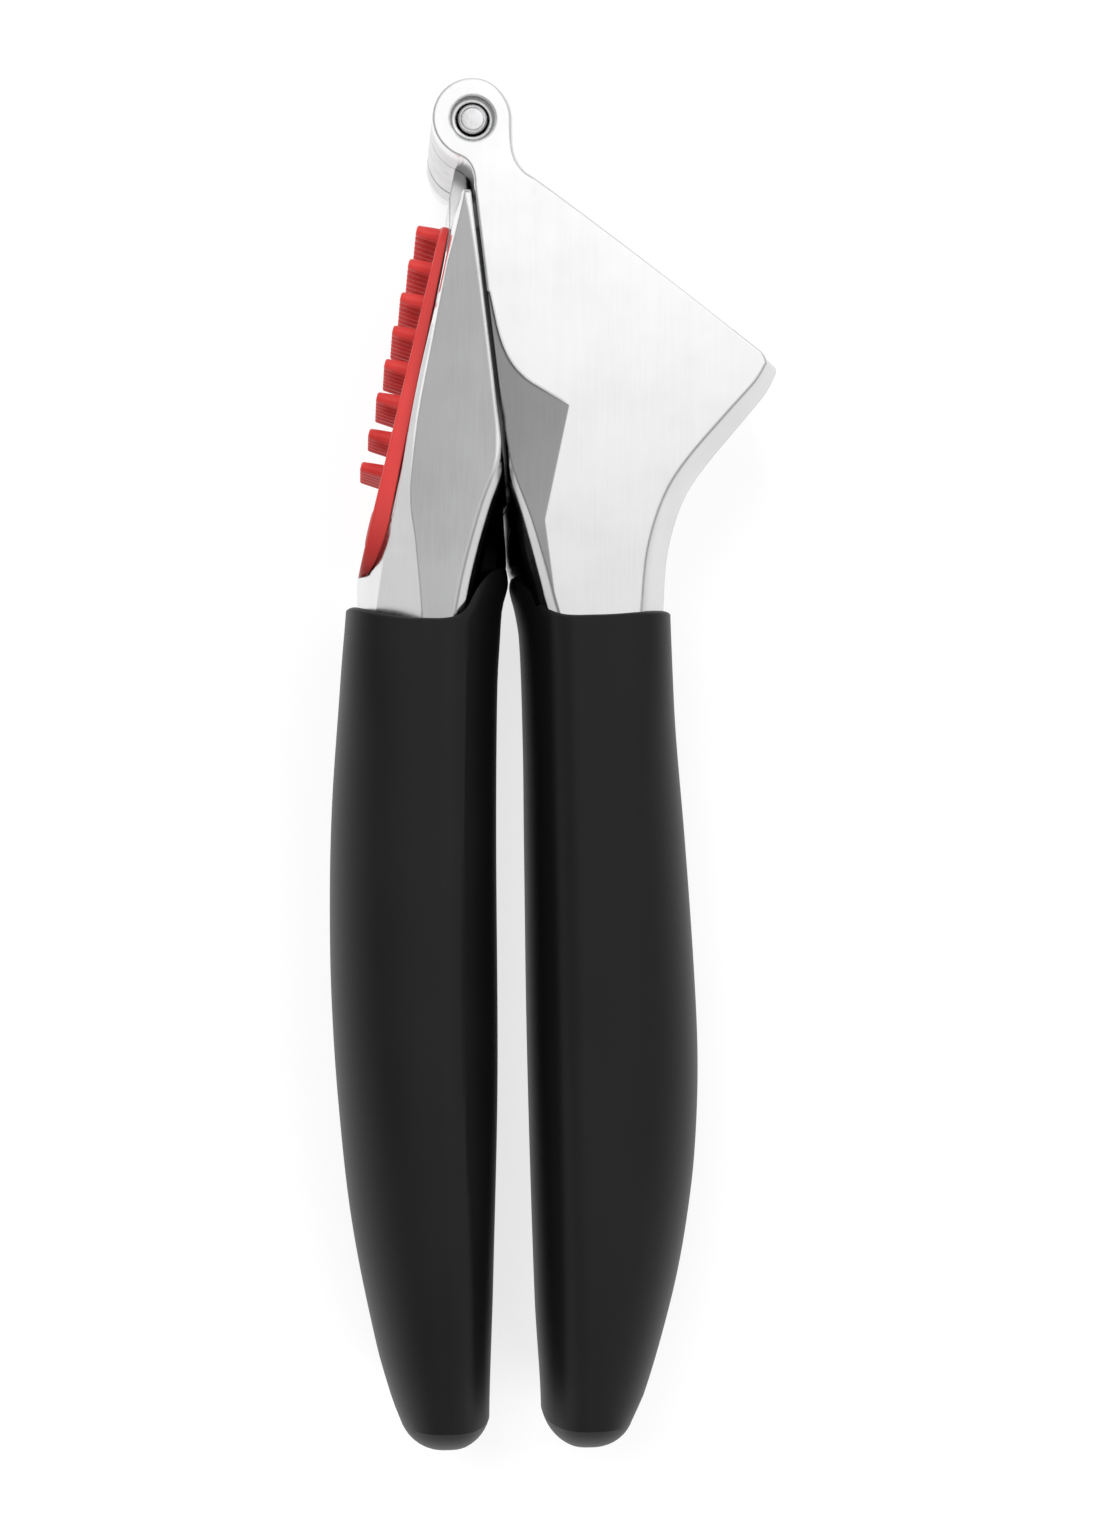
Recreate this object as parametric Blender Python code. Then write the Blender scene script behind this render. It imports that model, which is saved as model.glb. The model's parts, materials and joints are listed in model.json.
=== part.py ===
"""Garlic press with a fold-over cleaner, lying on its side.

Frame: metres, +Z up, the floor at z = 0, +Y towards the hinge, +X towards the hopper arm, and the
origin under the middle of the whole press.  Every outline is drawn in millimetres about the hinge
axis: x and y in the plane the arms swing in, z along the hinge pin with 0 at the middle plane.  Two
empties on the hinge axis carry the pieces, one for each half, so the moving half turns about its own
origin.  The handles are shown closed, with the plunger inside the hopper.
"""

from dataclasses import dataclass
from math import asin, cos, degrees, hypot, pi, radians, sin

import bmesh
import bpy

MM = 0.001
GAP = 0.3                     # clearance between neighbouring pieces

# Overall layout
MIDDLE_X = 10.6              # middle of the press, measured from the hinge
MIDDLE_Y = -83.35
HEAD_HALF = 14.75             # half the thickness of the metal head
GRIP_HALF = 16.0              # half the thickness of the soft grips, which touch the floor

# Hinge
EAR_RADIUS = 5.15
PIN_RADIUS = 1.9
BORE_RADIUS = PIN_RADIUS + GAP
RECESS_RADIUS = 2.8
RECESS_DEPTH = 0.9
KNUCKLE_HALF = 7.0
SLOT_HALF = KNUCKLE_HALF + GAP
SLOT_RADIUS = EAR_RADIUS + 0.35

# Hopper
CHAMBER_INNER_RADIUS = 13.0
CHAMBER_OUTER_RADIUS = 49.2
CHAMBER_HALF = 11.4
CHAMBER_CORNER = 4.0
STRAINER_THICKNESS = 2.0
STRAINER_HALF = 11.9
STRAINER_START = 12.5
STRAINER_END = 49.3
PLUNGER_CLEARANCE = 0.4
PRESS_GAP = 0.5               # left between the pressing face and the strainer when closed
PLUNGER_WALL = 3.0

# Cleaner
PIN_ROWS = 8
FIRST_ROW = 14.5              # along the cleaner plate, from the hinge
ROW_PITCH = 4.43
COLUMN_PITCH = 3.0
FULL_ROWS = 6                 # the last rows are shorter, to suit the hopper's rounded corners
COLUMNS_FULL = 7
COLUMNS_SHORT = 5
CLEANER_PIN_LENGTH = 3.0
CLEANER_PIN_BASE = 0.95
CLEANER_PIN_TIP = 0.72
STRAINER_HOLE_RADIUS = 1.3
CLEANER_START = 13.2
CLEANER_ROUND_FROM = 50.0
CLEANER_END = 60.2
CLEANER_SQUARENESS = 3.4      # of the round end
CLEANER_THIN_FROM = 52.0
CLEANER_HALF = 12.0
CLEANER_CORNER = 3.0
CLEANER_PLACES = [13.2, 13.5, 14.0, 14.8, 16.2, 50.0, 52.0, 54.0, 56.0, 57.6, 58.8, 59.6, 60.1]
CLEANER_THIN = 1.1
CLEANER_THICK = 2.3
PAD_ALONG = 52.5
PAD_REACH = 2.5
PAD_HALF = 4.5
PAD_HEIGHT = 0.3

# Handles
SHOULDER_Y = -66.0            # where the full section of each arm ends inside its grip
TANG_HALF = 4.0
TANG_END_Y = -150.0
CORE_TOP_Y = -66.6
CORE_END_Y = -163.0
SOFT_WALL = 2.6
DOME_Y = -167.6               # where the side walls of a grip meet its domed end
GRIP_END_Y = -171.9


@dataclass(frozen=True)
class Line:
    """A straight edge seen along the hinge pin: its direction, and how far it passes the hinge."""

    angle: float
    offset: float

    def point(self, along, above=0.0):
        """Point at a distance along the line, and above it on its left-hand side."""
        side = self.offset + above
        turn = radians(self.angle)
        return (cos(turn) * along - sin(turn) * side, sin(turn) * along + cos(turn) * side)

    def bearing(self, radius):
        """Direction in degrees of the point of this line that lies at a radius from the hinge."""
        return self.angle + degrees(asin(self.offset / radius))

    def moved(self, distance):
        """The same line, shifted to its left."""
        return Line(self.angle, self.offset + distance)


FACE = Line(-36.8, -1.2)     # outer face of the strainer, with the open air on its left
MOUTH = Line(-83.05, -0.84)   # open side of the hopper
CLEANER = Line(-103.3, -0.8)  # outer face of the cleaner plate, with the arm's metal on its left
ARM_INNER = MOUTH.moved(-0.45)


# ---------------------------------------------------------------- curves

def arc(radius, start, end, steps, centre=(0.0, 0.0)):
    """Points on an arc, both ends included, angles in degrees."""
    turns = [radians(start + (end - start) * step / steps) for step in range(steps + 1)]
    return [(centre[0] + radius * cos(turn), centre[1] + radius * sin(turn)) for turn in turns]


def blend(first, second, share):
    """Value or point part of the way from the first to the second."""
    if isinstance(first, tuple):
        return tuple(blend(a, b, share) for a, b in zip(first, second))
    return first + (second - first) * share


def smooth(share):
    """Ease in and out between 0 and 1."""
    share = min(max(share, 0.0), 1.0)
    return share * share * (3.0 - 2.0 * share)


def value_at(knots, where):
    """Smooth curve through (place, value) knots, which run in order of place."""
    knots = sorted(knots)
    places = [knot[0] for knot in knots]
    values = [knot[1] for knot in knots]
    if where <= places[0]:
        return values[0]
    if where >= places[-1]:
        return values[-1]
    slopes = []
    for i in range(len(knots)):
        low, high = max(i - 1, 0), min(i + 1, len(knots) - 1)
        turns_back = (values[i] - values[low]) * (values[high] - values[i]) <= 0.0
        slopes.append(0.0 if turns_back else (values[high] - values[low]) / (places[high] - places[low]))
    i = max(index for index in range(len(places) - 1) if places[index] <= where)
    span = places[i + 1] - places[i]
    t = (where - places[i]) / span
    start_weight = 2 * t**3 - 3 * t**2 + 1
    end_weight = 3 * t**2 - 2 * t**3
    leave = (t**3 - 2 * t**2 + t) * span * slopes[i]
    arrive = (t**3 - t**2) * span * slopes[i + 1]
    return start_weight * values[i] + leave + end_weight * values[i + 1] + arrive


# ---------------------------------------------------------------- solids

def finish(name, red, green, blue, roughness, metallic):
    """Principled material."""
    material = bpy.data.materials.new(name)
    material.use_nodes = True
    shader = material.node_tree.nodes["Principled BSDF"]
    shader.inputs["Base Color"].default_value = (red, green, blue, 1.0)
    shader.inputs["Roughness"].default_value = roughness
    shader.inputs["Metallic"].default_value = metallic
    return material


def carrier(name):
    """Empty on the hinge axis, which carries one half of the press."""
    empty = bpy.data.objects.new(name, None)
    empty.location = (-MIDDLE_X * MM, -MIDDLE_Y * MM, GRIP_HALF * MM)
    bpy.context.collection.objects.link(empty)
    return empty


def solid(name, vertices, faces, material=None, parent=None):
    """Closed mesh object from points in millimetres about the hinge."""
    mesh = bpy.data.meshes.new(name)
    mesh.from_pydata([(x * MM, y * MM, z * MM) for x, y, z in vertices], [], faces)
    work = bmesh.new()
    work.from_mesh(mesh)
    bmesh.ops.recalc_face_normals(work, faces=work.faces)
    work.to_mesh(mesh)
    work.free()
    piece = bpy.data.objects.new(name, mesh)
    bpy.context.collection.objects.link(piece)
    piece.parent = parent
    if material:
        mesh.materials.append(material)
    return piece


def loft(name, rings, material=None, parent=None):
    """Skin through closed rings of equal count, capped at both ends."""
    count = len(rings[0])
    vertices = [point for ring in rings for point in ring]
    faces = []
    for ring in range(len(rings) - 1):
        for i in range(count):
            j = (i + 1) % count
            low, high = ring * count, (ring + 1) * count
            faces.append((low + i, low + j, high + j, high + i))
    faces.append(tuple(reversed(range(count))))
    faces.append(tuple(range(len(vertices) - count, len(vertices))))
    return solid(name, vertices, faces, material, parent)


def prism(name, outline, low, high, material=None, parent=None):
    """Outline in x and y, extruded along the pin from low to high."""
    rings = [[(x, y, z) for x, y in outline] for z in (low, high)]
    return loft(name, rings, material, parent)


def rod(name, radius, low, high, sides, centre=(0.0, 0.0), material=None, parent=None):
    """Round bar along the pin direction."""
    half = 180.0 / sides
    outline = arc(radius, half, 360.0 - half, sides - 1, centre)
    return prism(name, outline, low, high, material, parent)


def sector(name, section, start, end, steps, material=None, parent=None):
    """Section of (radius, z) points swept about the hinge from one line to another."""
    rings = []
    for step in range(steps + 1):
        ring = []
        for radius, z in section:
            turn = blend(start.bearing(radius), end.bearing(radius), step / steps)
            ring.append((radius * cos(radians(turn)), radius * sin(radians(turn)), z))
        rings.append(ring)
    return loft(name, rings, material, parent)


def combine(piece, tool, operation):
    """Add a boolean with a hidden tool, which stays wire and unrendered."""
    step = piece.modifiers.new(tool.name, "BOOLEAN")
    step.operation = operation
    step.solver = "EXACT"
    step.object = tool
    tool.hide_render = True
    tool.display_type = "WIRE"
    tool.parent = piece.parent


def cut(piece, tool):
    """Take a tool's volume away from a piece."""
    combine(piece, tool, "DIFFERENCE")


def join(piece, tool):
    """Add a tool's volume to a piece."""
    combine(piece, tool, "UNION")


def trim_side(piece, label, first, second, tilt, reach=70.0):
    """Plane off both side faces beyond an edge.

    The edge runs between two (x, y, z) points.  The material on its right, seen from above and
    looking along it, is planed down by the tilt in degrees.
    """
    along = (second[0] - first[0], second[1] - first[1])
    length = hypot(*along)
    ahead = (along[0] / length, along[1] / length)
    right = (ahead[1], -ahead[0])
    drop = sin(radians(tilt)) / cos(radians(tilt))
    for side, sign in (("near", 1.0), ("far", -1.0)):
        ring_pair = []
        for back, end in ((-reach, first), (reach, second)):
            ring = []
            for across, rise in ((-3.0, 0.0), (reach, 0.0), (reach, reach), (-3.0, reach)):
                x = end[0] + ahead[0] * back + right[0] * across
                y = end[1] + ahead[1] * back + right[1] * across
                z = end[2] + (second[2] - first[2]) * back / length - drop * across + rise
                ring.append((x, y, z * sign))
            ring_pair.append(ring)
        cut(piece, loft(f"{label}_{side}", ring_pair))


# ---------------------------------------------------------------- shared sections

def rounded_slot(inner, outer, half, radius):
    """Section of the hopper chamber: square near the hinge, rounded at its far corners."""
    high = arc(radius, 0.0, 90.0, 4, (outer - radius, half - radius))
    low = arc(radius, -90.0, 0.0, 4, (outer - radius, radius - half))
    return [(inner, -half)] + low + high + [(inner, half)]


def hole_grid():
    """Places of the cleaner's pins and the strainer's holes: distance from the hinge, and z."""
    places = []
    for row in range(PIN_ROWS):
        columns = COLUMNS_FULL if row < FULL_ROWS else COLUMNS_SHORT
        for column in range(columns):
            places.append((FIRST_ROW + ROW_PITCH * row, (column - (columns - 1) / 2) * COLUMN_PITCH))
    return places


def plate_solid(name, line, outline, above, below, material=None, parent=None):
    """Plate with an outline of (along, z) points on a line; below may depend on the distance."""
    rings = []
    for depth in (above, below):
        ring = []
        for along, z in outline:
            height = depth(along) if callable(depth) else depth
            ring.append((*line.point(along, height), z))
        rings.append(ring)
    return loft(name, rings, material, parent)


def bulge(z):
    """How far the inner side of a handle has drawn back at a depth: 0 in the middle, 1 at a side."""
    share = min(abs(z) / HEAD_HALF, 1.0)
    return 1.0 - (1.0 - share * share) ** 0.5


LEVELS = [-14.75, -14.2, -13.2, -11.8, -9.0, -5.0, 0.0, 5.0, 9.0, 11.8, 13.2, 14.2, 14.75]


# ---------------------------------------------------------------- hopper arm

CORNER_RADIUS = 1.8
BACK_EDGE = [(37.9, -34.3), (34.6, -38.3), (29.5, -44.5), (26.9, -49.0), (25.2, -55.1), (24.7, -61.8),
             (24.6, SHOULDER_Y)]
HOPPER_MIDDLE = [(-66.0, 7.6), (-57.5, 6.4), (-50.0, 5.2), (-43.4, 4.44)]
HOPPER_EDGE = [(-66.0, 10.6), (-62.0, 9.4), (-58.0, 8.2), (-53.8, 7.0), (-49.3, 5.6), (-43.4, 4.44)]
EDGE_STEPS = 10


def hopper_outline(z, grow=0.0):
    """Outline of the hopper arm at a depth, clockwise from the notch under the ear."""
    points = arc(EAR_RADIUS, -108.0, -360.0, 22)
    face_start = FACE.point(10.2)
    points += [(5.2, -2.9), (5.5, -4.6), (6.2, -6.1), face_start]
    chamfer = min(max((abs(z) - 11.8) / (HEAD_HALF - 11.8), 0.0), 1.0)
    far_corner = [FACE.point(47.4), (38.75, -30.25), (39.4, -31.5), (39.0, -32.8)]
    near_corner = [FACE.point(46.8), FACE.point(47.3), FACE.point(47.6), (37.4, -30.4)]
    points += [blend(full, drawn_in, chamfer) for full, drawn_in in zip(far_corner, near_corner)]
    for i, (x, y) in enumerate(BACK_EDGE):
        ahead = BACK_EDGE[min(i + 1, len(BACK_EDGE) - 1)]
        behind = BACK_EDGE[max(i - 1, 0)]
        run = (ahead[0] - behind[0], ahead[1] - behind[1])
        length = hypot(*run)
        inset = chamfer * blend(1.9, 3.3, i / (len(BACK_EDGE) - 1)) - grow
        points.append((x + run[1] / length * inset, y - run[0] / length * inset))
    for step in range(EDGE_STEPS + 1):
        y = blend(SHOULDER_Y, -43.4, step / EDGE_STEPS)
        x = blend(value_at(HOPPER_MIDDLE, y), value_at(HOPPER_EDGE, y), bulge(z))
        points.append((x - grow, y))
    points += [MOUTH.point(30.0), MOUTH.point(20.0), MOUTH.point(9.2), (-0.1, -6.2), (-0.7, -5.35)]
    return points


def slot_outline():
    """Slot between the ears: round the knuckle, and clear of its web all the way to folded over."""
    floor = FACE.moved(-0.15)
    near = floor.bearing(SLOT_RADIUS)
    far = 2.0 * floor.angle - near - 180.0
    return ([floor.point(12.0)] + arc(SLOT_RADIUS, near, far, 20)
            + [floor.point(-9.0), floor.point(-9.0, 9.0), floor.point(12.0, 9.0)])


def build_hopper_arm(metal, parent):
    """Casting with the two ears, the hopper's cheeks and back wall, and the handle's tang."""
    rings = [[(x, y, z) for x, y in hopper_outline(z)] for z in LEVELS]
    arm = loft("hopper_arm", rings, metal, parent)
    join(arm, build_tang("hopper_tang", HOPPER_GRIP, grow=0.0))
    chamber = rounded_slot(CHAMBER_INNER_RADIUS, CHAMBER_OUTER_RADIUS, CHAMBER_HALF, CHAMBER_CORNER)
    floor = FACE.moved(-STRAINER_THICKNESS)
    cut(arm, sector("chamber_cutter", chamber, Line(MOUTH.angle - 12.0, 0.0), floor, 12))
    pocket = strainer_outline(GAP)
    cut(arm, plate_solid("pocket_cutter", FACE, pocket, 4.0, -STRAINER_THICKNESS - GAP))
    cut(arm, prism("slot_cutter", slot_outline(), -SLOT_HALF, SLOT_HALF))
    cut(arm, rod("bore_cutter", BORE_RADIUS, -20.0, 20.0, 24))
    for side, sign in (("near", 1.0), ("far", -1.0)):
        inner, outer = sign * (HEAD_HALF - RECESS_DEPTH), sign * 20.0
        cut(arm, rod(f"recess_cutter_{side}", RECESS_RADIUS, min(inner, outer), max(inner, outer), 24))
        for label, outline, first, second in SCOOPS:
            cut(arm, build_scoop(f"{label}_{side}", outline, first, second, sign))
    return arm


SCOOP_CORNER = (12.3, -36.35)
SCOOP_WAIST = (9.2, -51.0)
SCOOP_END = (11.1, -65.6)
SCOOP_SLOPE = 0.1
SCOOPS = [
    ("upper_scoop", [(-3.0, -23.0), (2.9, -23.5), (3.6, -27.5), (4.7, -31.0), (7.0, -33.3),
                     SCOOP_CORNER, (15.5, -38.3), (12.7, -51.0), (-3.0, -51.0)],
     SCOOP_CORNER, SCOOP_WAIST),
    ("lower_scoop", [(-3.0, -50.9), (12.7, -50.9), (14.1, -70.0), (-3.0, -70.0)],
     SCOOP_WAIST, SCOOP_END),
]


def build_scoop(name, outline, first, second, sign):
    """Cutter whose floor falls away to the left of an edge on a cheek."""
    run = (second[0] - first[0], second[1] - first[1])
    length = hypot(*run)
    rings = [[], []]
    for x, y in outline:
        left = ((x - first[0]) * run[1] - (y - first[1]) * run[0]) / length
        rings[0].append((x, y, sign * (HEAD_HALF - SCOOP_SLOPE * left)))
        rings[1].append((x, y, sign * (HEAD_HALF + 6.0)))
    return loft(name, rings)


# ---------------------------------------------------------------- strainer and cleaner

def strainer_outline(grow):
    """Outline of the strainer as (along, z) points, with rounded far corners."""
    start, end, half = STRAINER_START - grow, STRAINER_END + grow, STRAINER_HALF + grow
    radius = CHAMBER_CORNER
    low = arc(radius, -90.0, 0.0, 4, (end - radius, radius - half))
    high = arc(radius, 0.0, 90.0, 4, (end - radius, half - radius))
    return [(start, -half)] + low + high + [(start, half)]


def build_strainer(metal, parent):
    """Perforated floor of the hopper."""
    plate = plate_solid("strainer_plate", FACE, strainer_outline(0.0), 0.0, -STRAINER_THICKNESS,
                        metal, parent)
    for number, (along, z) in enumerate(hole_grid()):
        hole = [(along + u, z + v) for u, v in arc(STRAINER_HOLE_RADIUS, 0.0, 324.0, 9)]
        cut(plate, plate_solid(f"hole_{number:02d}", FACE, hole, 1.0, -STRAINER_THICKNESS - 1.0))
    return plate


def cleaner_half(along):
    """Half the width of the cleaner plate at a distance from the hinge: a tongue with a round end."""
    corner = max(CLEANER_CORNER - (along - CLEANER_START), 0.0)
    inset = CLEANER_CORNER - (CLEANER_CORNER ** 2 - corner ** 2) ** 0.5
    end = max((along - CLEANER_ROUND_FROM) / (CLEANER_END - CLEANER_ROUND_FROM), 0.0)
    return (CLEANER_HALF - inset) * (1.0 - end ** CLEANER_SQUARENESS) ** (1.0 / CLEANER_SQUARENESS)


def cleaner_back(along):
    """Thickness of the cleaner plate at a distance from the hinge, thinned towards its round end."""
    share = min((along - CLEANER_START) / (CLEANER_THIN_FROM - CLEANER_START), 1.0)
    end = min(max((along - CLEANER_THIN_FROM) / (CLEANER_END - CLEANER_THIN_FROM), 0.0), 1.0)
    return blend(CLEANER_THIN, CLEANER_THICK, share) * max(1.0 - end * end, 0.1) ** 0.5


def cleaner_solid(name, above, grow=0.0, material=None, parent=None):
    """Tongue of the cleaner plate, or with grow the space it needs in the arm."""
    rings = []
    for along in CLEANER_PLACES:
        shift = grow if along > CLEANER_ROUND_FROM - 1.0 else -grow
        half, back = cleaner_half(along) + grow, cleaner_back(along) + grow
        rings.append([(*CLEANER.point(along + shift, height), z)
                      for height, z in ((above, -half), (back, -half), (back, half), (above, half))])
    return loft(name, rings, material, parent)


def build_cleaner(plastic, parent):
    """Plate with a grid of pins that push the strainer's holes clear when the press is folded over."""
    plate = cleaner_solid("cleaner_plate", 0.0, material=plastic, parent=parent)
    for number, (along, z) in enumerate(hole_grid()):
        base = [(along + u, z + v) for u, v in arc(CLEANER_PIN_BASE, 0.0, 315.0, 7)]
        tip = [(along + u, z + v) for u, v in arc(CLEANER_PIN_TIP, 0.0, 315.0, 7)]
        rings = [[(*CLEANER.point(u, 0.4), v) for u, v in base],
                 [(*CLEANER.point(u, -CLEANER_PIN_LENGTH), v) for u, v in tip]]
        join(plate, loft(f"cleaner_pin_{number:02d}", rings))
    pad = [(PAD_ALONG + PAD_REACH * u, PAD_HALF * v) for u, v in arc(1.0, 0.0, 345.0, 23)]
    join(plate, plate_solid("thumb_pad", CLEANER, pad, -PAD_HEIGHT, 0.4))
    return plate


# ---------------------------------------------------------------- plunger arm

PLUNGER_MIDDLE = [(-66.0, 3.1), (-57.5, 3.95), (-50.0, 4.1), (-43.4, 3.97)]
PLUNGER_EDGE = [(-66.0, -2.2), (-62.4, -1.2), (-56.4, 0.2), (-51.8, 1.5), (-47.1, 2.7), (-43.4, 3.9)]
PLUNGER_SHOULDER_X = -14.5
SHOULDER_ROUND = 2.6           # how far the back edge draws in at the side faces
BODY_TOP = (-0.75, -9.0)
LAND_TOP = (-0.85, -10.2)      # narrow strip left flat beside the hopper
LAND_END = (3.0, -40.5)
MAIN_TILT = 6.0
RIDGE_TOP = (-7.8, -46.0, 13.55)
RIDGE_END = (-6.5, -62.0, 13.48)
RIDGE_TILT = 30.0
CHEEK_TOP = (-9.2, -46.0, 12.74)
CHEEK_END = (-12.1, -62.0, 10.35)
CHEEK_TILT = 46.0


def plunger_outline(z, grow=0.0):
    """Outline of the plunger arm's body at a depth, clockwise from its top."""
    rim = min(max((abs(z) - 11.8) / (HEAD_HALF - 11.8), 0.0), 1.0)
    start, end = ARM_INNER.point(9.2), ARM_INNER.point(43.6)
    points = [BODY_TOP, start, blend(start, end, 0.35), blend(start, end, 0.7)]
    for step in range(EDGE_STEPS + 1):
        y = blend(-43.4, SHOULDER_Y, step / EDGE_STEPS)
        x = blend(value_at(PLUNGER_MIDDLE, y), value_at(PLUNGER_EDGE, y), bulge(z))
        points.append((x + grow, y))
    points.append((PLUNGER_SHOULDER_X + SHOULDER_ROUND * rim - grow, SHOULDER_Y))
    for along in (61.5, 60.0, 45.0, 30.0, CLEANER_START):
        low_end = smooth((along - 50.0) / 10.0)
        inset = 1.3 * smooth(rim * 3.0) * smooth((60.0 - along) / 8.0) + SHOULDER_ROUND * rim * low_end
        x, y = CLEANER.point(along, inset)
        points.append((x - grow, y))
    return points


def build_plunger_arm(metal, parent):
    """Casting with the knuckle, the arm's body and its tang."""
    rings = [[(x, y, z) for x, y in plunger_outline(z)] for z in LEVELS]
    arm = loft("plunger_arm", rings, metal, parent)
    join(arm, build_tang("plunger_tang", PLUNGER_GRIP, grow=0.0))
    trim_side(arm, "main_facet", (*LAND_TOP, HEAD_HALF), (*LAND_END, HEAD_HALF), MAIN_TILT)
    trim_side(arm, "ridge_facet", RIDGE_TOP, RIDGE_END, RIDGE_TILT)
    trim_side(arm, "back_facet", CHEEK_TOP, CHEEK_END, CHEEK_TILT)
    knuckle = rod("knuckle", EAR_RADIUS, -KNUCKLE_HALF, KNUCKLE_HALF, 32)
    neck = [(-3.2, -2.0), (-0.75, -4.0), ARM_INNER.point(9.5, -0.1), ARM_INNER.point(14.0, -0.3),
            CLEANER.point(14.5, 0.5), CLEANER.point(9.0, 0.1), CLEANER.point(4.0, -0.1)]
    join(arm, knuckle)
    join(arm, prism("neck_web", neck, -KNUCKLE_HALF, KNUCKLE_HALF))
    cut(arm, cleaner_solid("seat_cutter", -6.0, GAP))
    cut(arm, rod("knuckle_bore", BORE_RADIUS, -20.0, 20.0, 24))
    return arm


def build_plunger_head(metal, parent):
    """Hollow pressing block that sweeps through the hopper, with its plate parallel to the strainer."""
    outer = CHAMBER_OUTER_RADIUS - PLUNGER_CLEARANCE
    inner = CHAMBER_INNER_RADIUS + PLUNGER_CLEARANCE
    half = CHAMBER_HALF - PLUNGER_CLEARANCE
    face = FACE.moved(-STRAINER_THICKNESS - PRESS_GAP)
    root = ARM_INNER.moved(GAP)
    head = sector("plunger_head", rounded_slot(inner, outer, half, CHAMBER_CORNER - 0.3), root, face, 10,
                  metal, parent)
    hollow = rounded_slot(inner + PLUNGER_WALL, outer - PLUNGER_WALL, half - PLUNGER_WALL, 1.5)
    cut(head, sector("hollow_cutter", hollow, root.moved(-3.0), face.moved(-PLUNGER_WALL), 8))
    return head


# ---------------------------------------------------------------- hinge pin

def build_hinge_pin(steel, parent):
    """Pin held in the ears, with a domed end in each ear's recess."""
    rings = []
    end = HEAD_HALF - 0.35
    for radius, z in ((PIN_RADIUS - 0.35, -end), (PIN_RADIUS, 0.35 - end), (PIN_RADIUS, end - 0.35),
                      (PIN_RADIUS - 0.35, end)):
        rings.append([(x, y, z) for x, y in arc(radius, 0.0, 345.0, 23)])
    return loft("hinge_pin", rings, steel, parent)


# ---------------------------------------------------------------- grips

@dataclass(frozen=True)
class Grip:
    """Soft sleeve: x of its outer and inner sides and of its ridge, each against y."""

    outer: tuple
    inner: tuple
    ridge: tuple
    rim_start: float          # x where the rim starts to rise towards the other handle
    dome_x: float             # x of the lowest point of the domed end


PLUNGER_GRIP = Grip(
    outer=((-169.0, -8.8), (-165.0, -10.1), (-158.0, -12.1), (-142.0, -15.3), (-126.0, -17.1),
           (-112.0, -18.0), (-100.0, -18.2), (-87.0, -17.9), (-71.0, -16.8), (-57.0, -15.9)),
    inner=((-169.0, 2.8), (-150.0, 3.3), (-120.0, 3.9), (-90.0, 3.7), (-72.0, 3.85), (-65.5, 4.2),
           (-57.0, 5.02)),
    ridge=((-169.0, -3.0), (-110.0, -5.0), (-57.0, -4.4)),
    rim_start=-2.0,
    dome_x=-2.7,
)
HOPPER_GRIP = Grip(
    outer=((-169.0, 21.4), (-164.5, 23.2), (-157.0, 25.5), (-149.0, 27.5), (-141.0, 28.9),
           (-133.0, 29.8), (-122.0, 30.2), (-111.0, 29.8), (-93.0, 28.5), (-73.0, 26.7), (-57.0, 26.0)),
    inner=((-169.0, 9.85), (-153.0, 9.0), (-120.0, 8.0), (-93.0, 7.55), (-80.0, 7.3), (-65.5, 6.45),
           (-57.0, 5.36)),
    ridge=((-169.0, 15.5), (-110.0, 14.5), (-57.0, 13.5)),
    rim_start=9.6,
    dome_x=15.6,
)
GRIP_DEPTH = ((-169.0, 12.2), (-160.0, 13.6), (-145.0, 15.2), (-125.0, 16.0), (-57.0, 16.0))
GRIP_SQUARENESS = ((-169.0, 2.5), (-120.0, 2.9), (-80.0, 3.4), (-66.0, 4.6), (-57.0, 4.8))
GRIP_SIDES = 28


def grip_ring(grip, y, inset=0.0, height=None):
    """Closed section of a grip at a height: a squarish oval whose ridge may lie off its middle."""
    ring = []
    ridge = value_at(grip.ridge, y)
    outer, inner = value_at(grip.outer, y), value_at(grip.inner, y)
    power = 2.0 / value_at(GRIP_SQUARENESS, y)
    for i in range(GRIP_SIDES):
        turn = 2 * pi * i / GRIP_SIDES
        across, deep = cos(turn), sin(turn)
        edge = outer if across > 0 else inner
        reach = abs(edge - ridge) - inset
        sign = 1.0 if edge > ridge else -1.0
        x = ridge + sign * reach * abs(across) ** power
        z = (value_at(GRIP_DEPTH, y) - inset) * abs(deep) ** power * (1.0 if deep > 0 else -1.0)
        ring.append((x, height(x, z) if height else y, z))
    return ring


def rim_height(grip):
    """The rim of a grip: dipped at its front and back, rising to a point beside the other handle."""
    tip = value_at(grip.inner, -57.0)
    outside = value_at(grip.outer, -61.0)

    def height(x, z):
        rise = smooth((x - grip.rim_start) / (tip - grip.rim_start)) * 5.7
        lift = 1.3 * min(max((x - grip.rim_start) / (outside - grip.rim_start), 0.0), 1.0) ** 2
        return -62.7 + rise + lift
    return height


def build_tang(name, grip, grow):
    """Tapered bar that continues an arm inside its grip."""
    rings = []
    for step in range(9):
        y = blend(SHOULDER_Y + 4.0, TANG_END_Y, step / 8)
        centre = (value_at(grip.outer, y) + value_at(grip.inner, y)) / 2
        half = blend(4.5, 2.8, step / 8) + grow
        depth = TANG_HALF + grow
        drop = -grow if step == 8 else 0.0
        rings.append([(centre + half * a, y + drop, depth * b)
                      for a, b in ((-1, -1), (1, -1), (1, 1), (-1, 1))])
    return loft(name, rings)


def core_rings(grip, grow):
    """Rings of the hard core between the tang and the soft sleeve."""
    rings = []
    for step in range(11):
        y = blend(CORE_TOP_Y + grow, CORE_END_Y - grow, step / 10)
        rings.append(grip_ring(grip, y, SOFT_WALL - grow))
    return rings


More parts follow.
